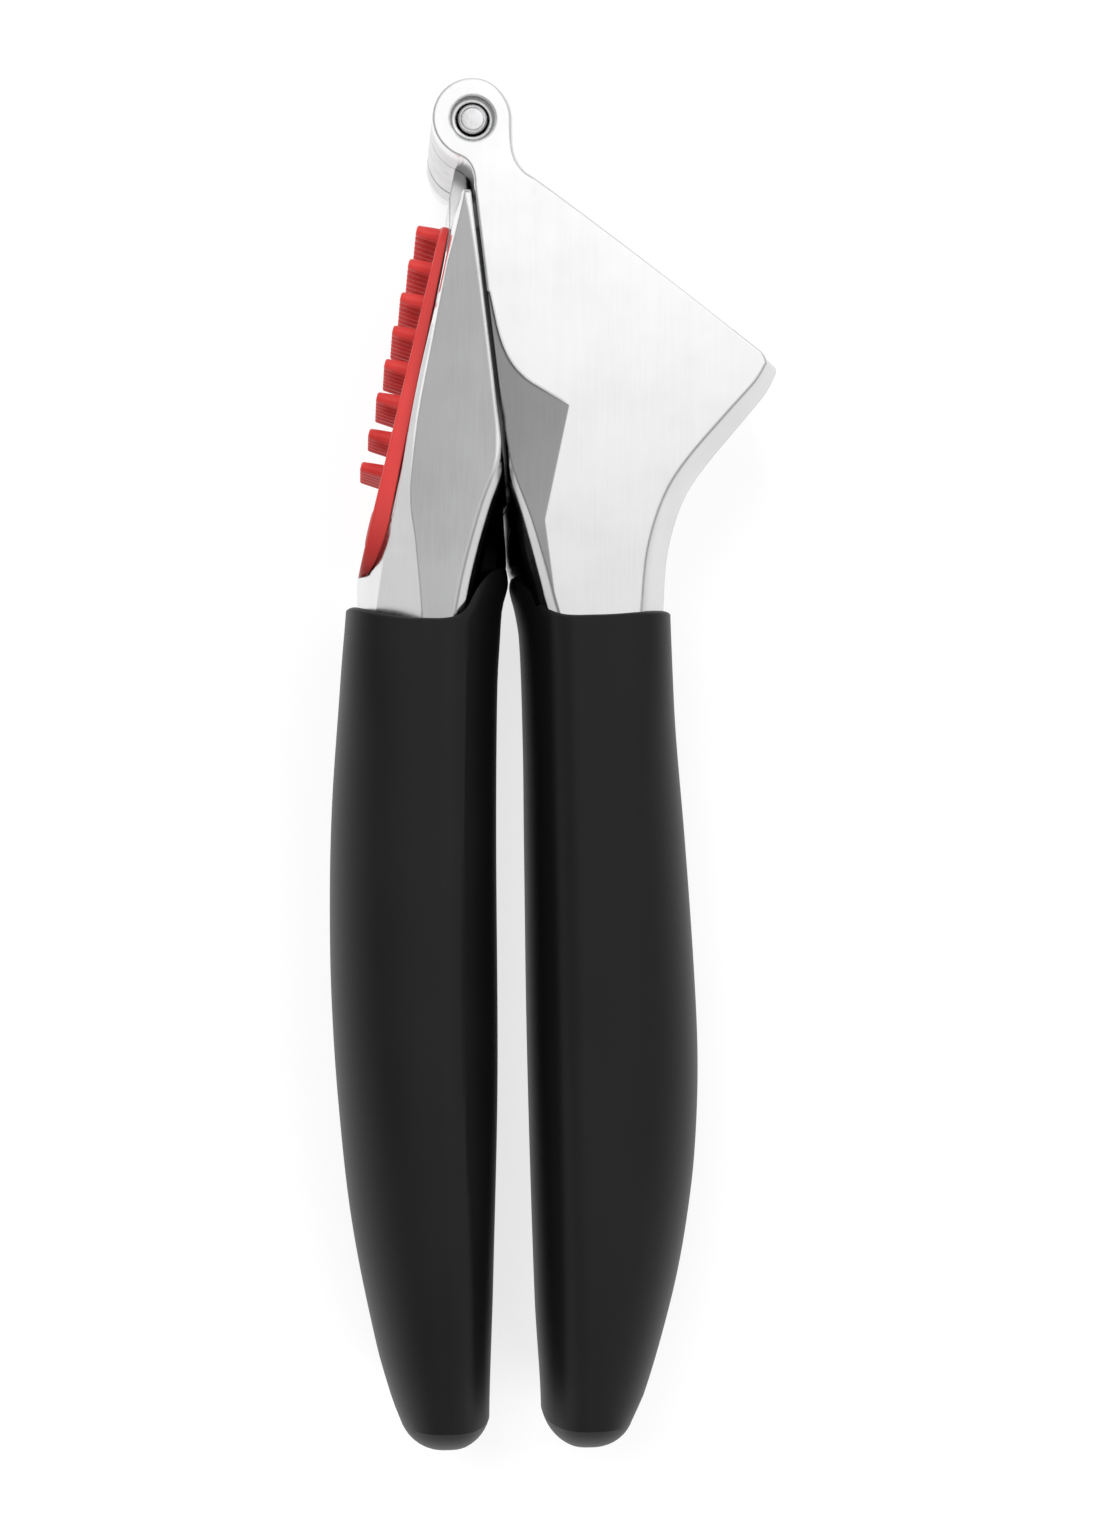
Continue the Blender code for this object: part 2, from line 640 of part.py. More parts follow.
def build_core(name, grip, plastic, parent):
    """Hard sleeve pressed on the tang, which the soft grip is moulded over."""
    core = loft(name, core_rings(grip, 0.0), plastic, parent)
    cut(core, build_tang(f"{name}_socket", grip, GAP))
    return core


def build_grip(name, grip, outline, rubber, parent):
    """Soft grip, open at its top for the metal arm and hollow for the core."""
    rings = [grip_ring(grip, -60.0, 0.0, rim_height(grip))]
    for step in range(21):
        rings.append(grip_ring(grip, blend(-65.0, DOME_Y, (step / 20) ** 0.9)))
    for turn in (18.0, 36.0, 54.0, 70.0, 82.0):
        shrink, drop = cos(radians(turn)), sin(radians(turn))
        base = rings[21]
        y = blend(DOME_Y, GRIP_END_Y, drop)
        rings.append([(blend(grip.dome_x, x, shrink), y, z * shrink) for x, _, z in base])
    sleeve = loft(name, rings, rubber, parent)
    mouth = [[(x, y, z * (HEAD_HALF + GAP) / HEAD_HALF) for x, y in outline(z, GAP)] for z in LEVELS]
    lowered = [[(x, y - GAP if y < SHOULDER_Y + 0.1 else y, z) for x, y, z in ring] for ring in mouth]
    cut(sleeve, loft(f"{name}_mouth", lowered))
    cut(sleeve, loft(f"{name}_hollow", core_rings(grip, GAP)))
    return sleeve


# ---------------------------------------------------------------- assembly

def main():
    """Build the press."""
    for item in list(bpy.data.objects):
        bpy.data.objects.remove(item, do_unlink=True)
    zinc = finish("satin_zinc", 0.80, 0.80, 0.82, 0.25, 1.0)
    steel = finish("pin_steel", 0.75, 0.75, 0.77, 0.2, 1.0)
    red = finish("red_plastic", 0.62, 0.05, 0.045, 0.45, 0.0)
    rubber = finish("soft_black", 0.02, 0.02, 0.021, 0.6, 0.0)
    hard = finish("hard_black", 0.03, 0.03, 0.03, 0.5, 0.0)
    hopper_half = carrier("hopper_half")
    plunger_half = carrier("plunger_half")
    build_hopper_arm(zinc, hopper_half)
    build_strainer(zinc, hopper_half)
    build_hinge_pin(steel, hopper_half)
    build_core("hopper_core", HOPPER_GRIP, hard, hopper_half)
    build_grip("hopper_grip", HOPPER_GRIP, hopper_outline, rubber, hopper_half)
    build_plunger_arm(zinc, plunger_half)
    build_plunger_head(zinc, plunger_half)
    build_cleaner(red, plunger_half)
    build_core("plunger_core", PLUNGER_GRIP, hard, plunger_half)
    build_grip("plunger_grip", PLUNGER_GRIP, plunger_outline, rubber, plunger_half)


main()
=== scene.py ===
"""Looks of a garlic press: satin zinc castings, soft black handles and a red fold-over cleaner.

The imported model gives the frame: metres, +Z up, +Y towards the hinge, the floor at z = 0.  Every
outline below is drawn in millimetres about the hinge axis, as on a maker's drawing: x and y in the
plane that the arms swing in, z along the hinge pin with 0 at the press's middle plane.
"""

import json
import logging
from dataclasses import dataclass
from enum import Enum
from math import asin, cos, degrees, hypot, pi, radians, sin, tan
from typing import Any, Callable, Optional, Sequence, Union

import bmesh
import bpy
from mathutils import Matrix, Vector

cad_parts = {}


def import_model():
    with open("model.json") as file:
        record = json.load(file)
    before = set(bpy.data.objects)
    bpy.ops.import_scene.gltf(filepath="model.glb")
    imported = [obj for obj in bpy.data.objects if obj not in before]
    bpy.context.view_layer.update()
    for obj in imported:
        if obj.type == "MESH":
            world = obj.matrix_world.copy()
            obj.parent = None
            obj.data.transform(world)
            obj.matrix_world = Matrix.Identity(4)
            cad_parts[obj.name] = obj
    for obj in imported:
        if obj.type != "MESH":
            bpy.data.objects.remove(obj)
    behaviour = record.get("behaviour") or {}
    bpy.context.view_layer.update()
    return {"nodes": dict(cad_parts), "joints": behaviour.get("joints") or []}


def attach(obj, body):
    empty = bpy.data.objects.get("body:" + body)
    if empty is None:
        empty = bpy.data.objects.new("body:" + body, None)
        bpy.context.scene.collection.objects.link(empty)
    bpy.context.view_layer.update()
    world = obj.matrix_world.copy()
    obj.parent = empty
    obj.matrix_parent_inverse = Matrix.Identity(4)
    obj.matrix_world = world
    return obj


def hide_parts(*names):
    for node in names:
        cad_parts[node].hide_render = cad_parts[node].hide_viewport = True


LOG = logging.getLogger("garlic_press")
MM = 0.001
FIT = 0.3                     # clearance between neighbouring pieces
HEAD_HALF = 14.75             # half the thickness of the metal head
SHOULDER_Y = -66.0            # where the metal ends, out of sight inside the grips
HINGE = (-10.6, 83.35, 16.0)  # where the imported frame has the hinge, in millimetres

Flat = tuple[float, float]
Point = tuple[float, float, float]
Ring = list[Point]
Shade = Union[Point, "Socket"]


class Body(Enum):
    """The two halves that the hinge joins."""

    HOPPER = "hopper_half"
    PLUNGER = "plunger_half"


# ---------------------------------------------------------------- curves

@dataclass(frozen=True)
class Line:
    """A straight edge seen along the hinge pin: its direction, and how far it passes the hinge."""

    angle: float
    offset: float

    def point(self, along: float, above: float = 0.0) -> Flat:
        """Point at a distance along the line, and above it on its left-hand side."""
        side, turn = self.offset + above, radians(self.angle)
        return (cos(turn) * along - sin(turn) * side, sin(turn) * along + cos(turn) * side)

    def at_height(self, y: float) -> Flat:
        """Point of the line at a y."""
        turn = radians(self.angle)
        return self.point((y - cos(turn) * self.offset) / sin(turn))

    def bearing(self, radius: float) -> float:
        """Direction in degrees of the line's point at a radius from the hinge."""
        return self.angle + degrees(asin(self.offset / radius))

    def moved(self, distance: float) -> "Line":
        """The same line, shifted to its left."""
        return Line(self.angle, self.offset + distance)


FACE = Line(-36.8, -1.2)      # outer face of the strainer
MOUTH = Line(-83.05, -0.84)   # open side of the hopper
CLEANER = Line(-103.3, -0.8)  # outer face of the cleaner plate


def mix(first: Any, second: Any, share: float) -> Any:
    """Value or point part of the way from the first to the second."""
    if isinstance(first, tuple):
        return tuple(mix(a, b, share) for a, b in zip(first, second))
    return first + (second - first) * share


def ease(share: float) -> float:
    """Ease in and out between 0 and 1."""
    share = min(max(share, 0.0), 1.0)
    return share * share * (3.0 - 2.0 * share)


def arc(radius: float, start: float, end: float, steps: int, centre: Flat = (0.0, 0.0)) -> list[Flat]:
    """Points on an arc, both ends included, angles in degrees."""
    turns = [radians(start + (end - start) * step / steps) for step in range(steps + 1)]
    return [(centre[0] + radius * cos(turn), centre[1] + radius * sin(turn)) for turn in turns]


def bezier(first: Flat, leave: Flat, arrive: Flat, last: Flat, steps: int) -> list[Flat]:
    """Points on a cubic curve, both ends included.

    Args:
        first: Start.
        leave: Control point after the start.
        arrive: Control point before the end.
        last: End.
        steps: Number of steps.

    Returns:
        The points.
    """
    points = []
    for step in range(steps + 1):
        t = step / steps
        a, b, c = mix(first, leave, t), mix(leave, arrive, t), mix(arrive, last, t)
        points.append(mix(mix(a, b, t), mix(b, c, t), t))
    return points


def through(knots: Sequence[Flat], steps: int) -> list[Flat]:
    """Smooth path through knots, with a number of steps between each two.

    Args:
        knots: Points that the path passes through.
        steps: Steps between two neighbouring knots.

    Returns:
        The path's points, first and last knots included.
    """
    path = []
    for i in range(len(knots) - 1):
        before, after = knots[max(i - 1, 0)], knots[min(i + 2, len(knots) - 1)]
        start, end = knots[i], knots[i + 1]
        leave = tuple(a + (c - b) / 6.0 for a, b, c in zip(start, before, end))
        arrive = tuple(a - (c - b) / 6.0 for a, b, c in zip(end, start, after))
        path += bezier(start, leave, arrive, end, steps)[:-1]
    return path + [knots[-1]]


def value_at(knots: Sequence[Flat], where: float) -> float:
    """Smooth curve through (place, value) knots, flat at its turning points.

    Args:
        knots: (place, value) pairs.
        where: Place to read.

    Returns:
        The value there.
    """
    knots = sorted(knots)
    if where <= knots[0][0]:
        return knots[0][1]
    if where >= knots[-1][0]:
        return knots[-1][1]
    slopes = []
    for i, (_, value) in enumerate(knots):
        low, high = knots[max(i - 1, 0)], knots[min(i + 1, len(knots) - 1)]
        turns_back = (value - low[1]) * (high[1] - value) <= 0.0
        slopes.append(0.0 if turns_back else (high[1] - low[1]) / (high[0] - low[0]))
    i = max(index for index in range(len(knots) - 1) if knots[index][0] <= where)
    span = knots[i + 1][0] - knots[i][0]
    t = (where - knots[i][0]) / span
    start, end = 2 * t**3 - 3 * t**2 + 1, 3 * t**2 - 2 * t**3
    leave, arrive = (t**3 - 2 * t**2 + t) * span, (t**3 - t**2) * span
    return start * knots[i][1] + end * knots[i + 1][1] + leave * slopes[i] + arrive * slopes[i + 1]


def round_ended(start: float, end: float, half: float, radius: float) -> list[Flat]:
    """Outline that is square at its start and has rounded corners at its end.

    Args:
        start: Place of the square end.
        end: Place of the rounded end.
        half: Half the width.
        radius: Radius of the two corners.

    Returns:
        The outline's points, the first at the square end.
    """
    low = arc(radius, -90.0, 0.0, 10, (end - radius, radius - half))
    high = arc(radius, 0.0, 90.0, 10, (end - radius, half - radius))
    return [(start, -half)] + low + high + [(start, half)]


def drawn_in(outline: Sequence[Flat], distances: Sequence[float]) -> list[Flat]:
    """Clockwise outline with each point moved inwards, square to its neighbours.

    Args:
        outline: Points in clockwise order.
        distances: How far each point moves in.

    Returns:
        The moved points.
    """
    moved = []
    for i, (x, y) in enumerate(outline):
        before, after = outline[i - 1], outline[(i + 1) % len(outline)]
        first, second = (x - before[0], y - before[1]), (after[0] - x, after[1] - y)
        one, two = hypot(*first), hypot(*second)
        normal_one = (first[1] / one, -first[0] / one)
        normal_two = (second[1] / two, -second[0] / two)
        share = max(1.0 + normal_one[0] * normal_two[0] + normal_one[1] * normal_two[1], 0.5)
        reach = distances[i] / share
        way = (normal_one[0] + normal_two[0], normal_one[1] + normal_two[1])
        moved.append((x + way[0] * reach, y + way[1] * reach))
    return moved


# ---------------------------------------------------------------- solids

@dataclass
class Bench:
    """Makes meshes from drawings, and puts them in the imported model's frame."""

    hinge: Vector

    def solid(self, name: str, vertices: Sequence[Point], faces: Sequence[Sequence[int]]) -> bpy.types.Object:
        """Closed mesh object from points in millimetres about the hinge.

        Args:
            name: The object's name.
            vertices: The points.
            faces: Indices of each face's points.

        Returns:
            The object, its faces pointing out.
        """
        mesh = bpy.data.meshes.new(name)
        mesh.from_pydata([tuple(self.hinge + Vector(point) * MM) for point in vertices], [], faces)
        work = bmesh.new()
        work.from_mesh(mesh)
        bmesh.ops.recalc_face_normals(work, faces=work.faces)
        work.to_mesh(mesh)
        work.free()
        piece = bpy.data.objects.new(name, mesh)
        bpy.context.collection.objects.link(piece)
        return piece

    def loft(self, name: str, rings: Sequence[Ring]) -> bpy.types.Object:
        """Skin through closed rings of equal count, capped at both ends.

        Args:
            name: The object's name.
            rings: The rings, in order.

        Returns:
            The closed solid.
        """
        count = len(rings[0])
        vertices = [point for ring in rings for point in ring]
        faces = []
        for row in range(len(rings) - 1):
            for i in range(count):
                j, low, high = (i + 1) % count, row * count, (row + 1) * count
                faces.append((low + i, low + j, high + j, high + i))
        faces.append(tuple(reversed(range(count))))
        faces.append(tuple(range(len(vertices) - count, len(vertices))))
        return self.solid(name, vertices, faces)

    def prism(self, name: str, outline: Sequence[Flat], low: float, high: float) -> bpy.types.Object:
        """Outline in x and y, extruded along the pin."""
        return self.loft(name, [[(x, y, z) for x, y in outline] for z in (low, high)])

    def turned(self, name: str, profile: Sequence[Flat], sides: int) -> bpy.types.Object:
        """Profile of (radius, z) points turned about the pin direction.

        Args:
            name: The object's name.
            profile: The (radius, z) points.
            sides: Number of sides.

        Returns:
            The closed solid.
        """
        rings = []
        for radius, z in profile:
            rings.append([(x, y, z) for x, y in arc(radius, 1.3, 361.3 - 360.0 / sides, sides - 1)])
        return self.loft(name, rings)

    def sector(self, name: str, section: Sequence[Flat], start: Line, end: Line, steps: int
               ) -> bpy.types.Object:
        """Section of (radius, z) points swept about the hinge from one line to another.

        Args:
            name: The object's name.
            section: The (radius, z) points.
            start: Line at the start.
            end: Line at the end.
            steps: Number of steps.

        Returns:
            The closed solid.
        """
        rings = []
        for step in range(steps + 1):
            ring = []
            for radius, z in section:
                turn = radians(mix(start.bearing(radius), end.bearing(radius), step / steps))
                ring.append((radius * cos(turn), radius * sin(turn), z))
            rings.append(ring)
        return self.loft(name, rings)

    def slab(self, name: str, line: Line, layers: Sequence[tuple[Sequence[Flat], Union[float, Callable]]]
             ) -> bpy.types.Object:
        """Solid through outlines of (along, z) points, each at a height above a line.

        Args:
            name: The object's name.
            line: Line that the heights are taken from.
            layers: Outlines, each with a height or a function of along.

        Returns:
            The closed solid.
        """
        rings = []
        for outline, height in layers:
            ring = []
            for along, z in outline:
                above = height(along) if callable(height) else height
                ring.append((*line.point(along, above), z))
            rings.append(ring)
        return self.loft(name, rings)

    def combine(self, piece: bpy.types.Object, tools: Sequence[bpy.types.Object], operation: str) -> None:
        """Add tools to a piece or cut them away, and remove the tools.

        Args:
            piece: The piece that is changed.
            tools: Closed solids.
            operation: UNION or DIFFERENCE.
        """
        for tool in tools:
            step = piece.modifiers.new(tool.name, "BOOLEAN")
            step.operation = operation
            step.solver = "EXACT"
            step.object = tool
        self.settle(piece)
        for tool in tools:
            bpy.data.meshes.remove(tool.data)

    def settle(self, piece: bpy.types.Object) -> None:
        """Turn a piece's modifiers into plain mesh.

        Args:
            piece: The piece that is changed.
        """
        bpy.context.view_layer.update()
        graph = bpy.context.evaluated_depsgraph_get()
        mesh = bpy.data.meshes.new_from_object(piece.evaluated_get(graph), depsgraph=graph)
        piece.modifiers.clear()
        old = piece.data
        piece.data = mesh
        bpy.data.meshes.remove(old)
        mesh.name = piece.name

    def crisp(self, piece: bpy.types.Object, angle: float) -> None:
        """Shade smooth, with edges sharper than an angle in degrees left crisp."""
        piece.data.shade_smooth()
        piece.data.set_sharp_from_angle(angle=radians(angle))


# ---------------------------------------------------------------- shader maths

Operand = Union["Socket", float]


@dataclass(frozen=True)
class Socket:
    """Output of a shader node, on which Python's operators add Math nodes."""

    net: "Net"
    link: bpy.types.NodeSocket

    def _math(self, operation: str, *values: Operand) -> "Socket":
        """Add a Math node."""
        return self.net.node("ShaderNodeMath", {"operation": operation}, dict(enumerate(values)))

    def __add__(self, other: Operand) -> "Socket":
        """Sum."""
        return self._math("ADD", self, other)

    __radd__ = __add__

    def __mul__(self, other: Operand) -> "Socket":
        """Product."""
        return self._math("MULTIPLY", self, other)

    __rmul__ = __mul__

    def __sub__(self, other: Operand) -> "Socket":
        """Difference."""
        return self._math("SUBTRACT", self, other)

    def __rsub__(self, other: Operand) -> "Socket":
        """Difference, taken from a number."""
        return self._math("SUBTRACT", other, self)

    def __pow__(self, other: Operand) -> "Socket":
        """Power."""
        return self._math("POWER", self, other)

    def size(self) -> "Socket":
        """Value without its sign."""
        return self._math("ABSOLUTE", self)

    def most(self, other: Operand) -> "Socket":
        """Larger of two values."""
        return self._math("MAXIMUM", self, other)

    def step(self, low: float, high: float) -> "Socket":
        """0 below low, 1 above high, and eased between; high may be the smaller.

        Args:
            low: Value that gives 0.
            high: Value that gives 1.

        Returns:
            The share.
        """
        settings = {"interpolation_type": "SMOOTHSTEP", "clamp": True}
        if low <= high:
            return self.net.node("ShaderNodeMapRange", settings, {0: self, 1: low, 2: high, 3: 0.0, 4: 1.0})
        return self.net.node("ShaderNodeMapRange", settings, {0: self, 1: high, 2: low, 3: 1.0, 4: 0.0})


@dataclass
class Net:
    """A node tree that is built by calls."""

    tree: bpy.types.NodeTree

    def node(self, kind: str, settings: dict[str, Any], values: dict[Any, Any], output: Any = 0) -> Socket:
        """Add one node.

        Args:
            kind: The node's type name.
            settings: Properties, set first; "stops" are a ramp's (place, grey or colour) pairs.
            values: Socket names or numbers, with a value or a Socket for each.
            output: The output to return.

        Returns:
            The chosen output.
        """
        made = self.tree.nodes.new(kind)
        for key, value in settings.items():
            if key == "stops":
                self._ramp(made, value)
            else:
                setattr(made, key, value)
        for key, value in values.items():
            if isinstance(value, Socket):
                self.tree.links.new(value.link, made.inputs[key])
            else:
                made.inputs[key].default_value = value
        return Socket(self, made.outputs[output])

    def _ramp(self, made: bpy.types.Node, stops: Sequence[tuple[float, Any]]) -> None:
        """Give a Color Ramp its stops.

        Args:
            made: The ramp.
            stops: (place, grey or colour) pairs.
        """
        elements = made.color_ramp.elements
        while len(elements) < len(stops):
            elements.new(1.0)
        for element, (place, shade) in zip(elements, stops):
            element.position = place
            element.color = (*shade, 1.0) if isinstance(shade, tuple) else (shade, shade, shade, 1.0)

    def place(self, stretch: Point = (1.0, 1.0, 1.0), turn: float = 0.0) -> Socket:
        """Object coordinates in millimetres, stretched and turned about the pin direction.

        Args:
            stretch: Scale on each axis.
            turn: Turn in degrees.

        Returns:
            The coordinates.
        """
        where = self.node("ShaderNodeTexCoord", {}, {}, "Object")
        scale = tuple(share / MM for share in stretch)
        turned = self.node("ShaderNodeVectorRotate", {"rotation_type": "Z_AXIS"},
                           {"Vector": where, "Angle": radians(turn)})
        return self.node("ShaderNodeVectorMath", {"operation": "MULTIPLY"}, {0: turned, 1: scale})

    def above(self, line: Line) -> Socket:
        """Distance in millimetres above a line, on its left-hand side.

        Args:
            line: The line.

        Returns:
            The distance.
        """
        turn = radians(line.angle)
        across = (-sin(turn), cos(turn), 0.0)
        values = {0: self.place(), 1: across}
        reach = self.node("ShaderNodeVectorMath", {"operation": "DOT_PRODUCT"}, values, 1)
        return reach - (line.offset + Vector(HINGE).dot(across))

    def part(self, index: int) -> Socket:
        """One of the three coordinates about the hinge, in millimetres."""
        return self.node("ShaderNodeSeparateXYZ", {}, {0: self.place()}, index) - HINGE[index]

    def noise(self, where: Socket, scale: float, detail: float = 2.0, rough: float = 0.5) -> Socket:
        """Noise between 0 and 1."""
        return self.node("ShaderNodeTexNoise", {"noise_dimensions": "3D"},
                         {"Vector": where, "Scale": scale, "Detail": detail, "Roughness": rough}, 0)

    def tint(self, first: Shade, second: Shade, share: Socket) -> Socket:
        """Colour between two colours, each a constant or a socket."""
        first, second = (shade if isinstance(shade, Socket) else (*shade, 1.0) for shade in (first, second))
        return self.node("ShaderNodeMix", {"data_type": "RGBA"}, {"Factor": share, 6: first, 7: second}, 2)

    def bump(self, height: Socket, distance: float, strength: float = 1.0,
             normal: Optional[Socket] = None) -> Socket:
        """Normal from a height in millimetres.

        Args:
            height: The height.
            distance: Depth of the bumps in millimetres.
            strength: Share of the effect.
            normal: Normal that is bumped, if not the surface's own.

        Returns:
            The normal.
        """
        values = {"Height": height, "Distance": distance * MM, "Strength": strength}
        if normal:
            values["Normal"] = normal
        return self.node("ShaderNodeBump", {}, values)


# ---------------------------------------------------------------- finishes

@dataclass(frozen=True)
class Finish:
    """A material: a Principled shader with constants of its own and sockets fed by patterns."""

    name: str
    slot: str
    colour: Point
    roughness: float
    metallic: float = 0.0
    specular: float = 0.5

    def material(self) -> bpy.types.Material:
        """Make the material.

        Returns:
            The new material.
        """
        made = bpy.data.materials.new(self.name)
        made.use_nodes = True
        shader = made.node_tree.nodes["Principled BSDF"]
        shader.inputs["Base Color"].default_value = (*self.colour, 1.0)
        shader.inputs["Roughness"].default_value = self.roughness
        shader.inputs["Metallic"].default_value = self.metallic
        shader.inputs["Specular IOR Level"].default_value = self.specular
        for socket, value in self.pattern(Net(made.node_tree)).items():
            made.node_tree.links.new(value.link, shader.inputs[socket])
        return made

    def pattern(self, net: Net) -> dict[str, Socket]:
        """What varies over the surface, by the shader's socket."""
        return {}

    def dress(self, piece: bpy.types.Object) -> None:
        """Give a piece this finish alone."""
        piece.data.materials.clear()
        piece.data.materials.append(bpy.data.materials.get(self.name) or self.material())


@dataclass(frozen=True)
class BrushedZinc(Finish):
    """Satin-plated casting, brushed along the handles, with polished edges."""

    grain_turn: float = 0.0

    def painted_shade(self, net: Net) -> Socket:
        """Share of painted shade: colour darkened in the gap between the arms, and round the knuckle and neck,
        where shade falls.

        Args:
            net: The material's node tree.

        Returns:
            The share.
        """
        x, y, z = (net.part(index) for index in range(3))
        depth = z.size()
        gap = net.above(MOUTH.moved(-0.1))
        narrow = gap.step(-0.75, -0.55) * gap.step(0.34, 0.24) * y.step(-6.0, -9.0) * y.step(-60.0, -56.0)
        below = depth.step(HEAD_HALF - 0.1, HEAD_HALF - 0.35)
        reach = (x * x + y * y) ** 0.5
        spots = net.noise(net.place((0.5, 0.5, 0.5)), 1.0, 3.0).step(0.3, 0.7)
        # painted shade round the knuckle, lightly mottled by noise
        knuckle = reach.step(13.0, 8.0) * depth.step(13.5, 11.0) * (spots * 0.1 + 0.28)
        throat = depth.step(13.2, 12.2) * y.step(-40.5, -44.0) * x.step(-4.0, -2.5) * x.step(13.0, 11.5)
        shoulder = gap.step(-1.3, -1.0) * gap.step(1.3, 1.0) * y.step(-34.0, -37.5) * depth.step(13.9, 13.0)
        # painted shade: darkest in the narrow gap between the arms, the throat and the shoulder
        dark = (narrow * below * 0.88).most(throat * 0.95).most(shoulder * 0.88)
        return dark.most(knuckle)

    def pattern(self, net: Net) -> dict[str, Socket]:
        """Fine streaks, soft clouds, handling marks, and painted shade in the gaps and on the tilted facets.

        Args:
            net: The material's node tree.

        Returns:
            Sockets by the shader's input.
        """
        streaks = net.noise(net.place((6.0, 0.12, 6.0), self.grain_turn), 1.0, 4.0, 0.65)
        bands = net.noise(net.place((0.9, 0.03, 0.9), self.grain_turn), 1.0, 2.0)
        clouds = net.noise(net.place(), 0.12, 3.0)
        rubs = net.noise(net.place((0.5, 0.5, 0.5)), 1.0, 5.0, 0.7).step(0.62, 0.72)
        wear = net.node("ShaderNodeBevel", {"samples": 4}, {"Radius": 0.35 * MM})
        true = net.node("ShaderNodeNewGeometry", {}, {}, "Normal")
        facing = net.node("ShaderNodeVectorMath", {"operation": "DOT_PRODUCT"}, {0: wear, 1: true}, 1)
        edge = facing.step(0.995, 0.93)
        dull = tuple(0.93 * part for part in self.colour)
        colour = net.tint(dull, self.colour, (streaks * 0.4 + clouds * 0.6).step(0.3, 0.62))
        # painted shade: the scoops' floors and the back chamfer are darkened, a little more towards the hinge
        milled = net.node("ShaderNodeAttribute", {"attribute_name": "milled"}, {}, "Fac")
        fade = net.part(1).step(-58.0, -36.0) * 0.1 + 0.34
        colour = net.tint(colour, (0.04, 0.04, 0.04), milled * fade)
        # painted shade: the colour goes near black in the gaps between the arms and round the knuckle
        colour = net.tint(colour, (0.02, 0.02, 0.02), self.painted_shade(net))
        rough = self.roughness + (streaks - 0.5) * 0.09 + (bands - 0.5) * 0.05 + rubs * 0.03 - edge * 0.06
        return {
            "Base Color": colour,
            "Roughness": rough,
            "Normal": net.bump(streaks, 0.0012, 0.6, wear),
        }


@dataclass(frozen=True)
class TurnedSteel(Finish):
    """Pin steel, mottled on its ends and finely grained."""

    def pattern(self, net: Net) -> dict[str, Socket]:
        """Mottled end and fine grain.

        Args:
            net: The material's node tree.

        Returns:
            Sockets by the shader's input.
        """
        grain = net.noise(net.place((1.4, 1.4, 1.4)), 1.0, 4.0, 0.6)
        fine = net.noise(net.place((8.0, 8.0, 8.0)), 1.0, 3.0)
        dull = tuple(0.86 * part for part in self.colour)
        return {
            "Base Color": net.tint(dull, self.colour, grain.step(0.35, 0.65)),
            "Roughness": self.roughness + (grain - 0.5) * 0.16,
            "Normal": net.bump(fine * 0.5 + grain, 0.02, 0.5),
        }


@dataclass(frozen=True)
class SoftBlack(Finish):
    """Soft-touch elastomer: matt, finely grained, a little burnished where hands hold it."""

    def pattern(self, net: Net) -> dict[str, Socket]:
        """Moulding grain, dust and burnish.

        Args:
            net: The material's node tree.

        Returns:
            Sockets by the shader's input.
        """
        grain = net.noise(net.place((3.2, 3.2, 3.2)), 1.0, 3.0, 0.6)
        cells = net.node("ShaderNodeTexVoronoi", {"feature": "F1"}, {"Vector": net.place(), "Scale": 3.6}, 0)
        clouds = net.noise(net.place((0.05, 0.03, 0.05)), 1.0, 3.0)
        dust = net.noise(net.place((1.1, 1.1, 1.1)), 1.0, 6.0, 0.75).step(0.7, 0.8)
        worn = tuple(part * 1.35 + 0.001 for part in self.colour)
        return {
            "Base Color": net.tint(self.colour, worn, clouds.step(0.35, 0.7) * 0.7 + dust * 0.3),
            "Roughness": self.roughness + (clouds - 0.5) * 0.1 + (grain - 0.5) * 0.08,
            "Normal": net.bump(grain * 0.5 + cells * 0.5, 0.02, 0.35),
        }


@dataclass(frozen=True)
class RedPlastic(Finish):
    """Moulded red plastic, slightly satin."""

    def pattern(self, net: Net) -> dict[str, Socket]:
        """Flow marks, a fine orange peel, and painted shade darkening the lower end of the tongue.

        Args:
            net: The material's node tree.

        Returns:
            Sockets by the shader's input.
        """
        peel = net.noise(net.place((1.3, 1.3, 1.3)), 1.0, 3.0)
        flow = net.noise(net.place((0.16, 0.05, 0.16)), 1.0, 2.0)
        deep = tuple(part * share for part, share in zip(self.colour, (0.86, 0.7, 0.7)))
        low = tuple(part * 0.52 for part in self.colour)
        colour = net.tint(deep, self.colour, flow.step(0.3, 0.65))
        # painted shade: the tongue's colour darkens towards its lower end
        shaded = net.tint(colour, low, net.part(1).step(-45.0, -59.0))
        return {
            "Base Color": shaded,
            "Roughness": self.roughness + (peel - 0.5) * 0.12,
            "Normal": net.bump(peel, 0.012, 0.5),
        }


ZINC = BrushedZinc("satin_zinc", "zinc_casting", (0.86, 0.86, 0.865), 0.2, 1.0)
STEEL = TurnedSteel("turned_steel", "pin_steel", (0.84, 0.84, 0.85), 0.26, 1.0)
RUBBER = SoftBlack("soft_black", "soft_grip", (0.0045, 0.0045, 0.0048), 0.5, 0.0, 0.33)
RED = RedPlastic("moulded_red", "red_plastic", (0.62, 0.045, 0.04), 0.38, 0.0, 0.4)
HARD = SoftBlack("hard_black", "hard_core", (0.02, 0.02, 0.02), 0.45)


# ---------------------------------------------------------------- hopper half

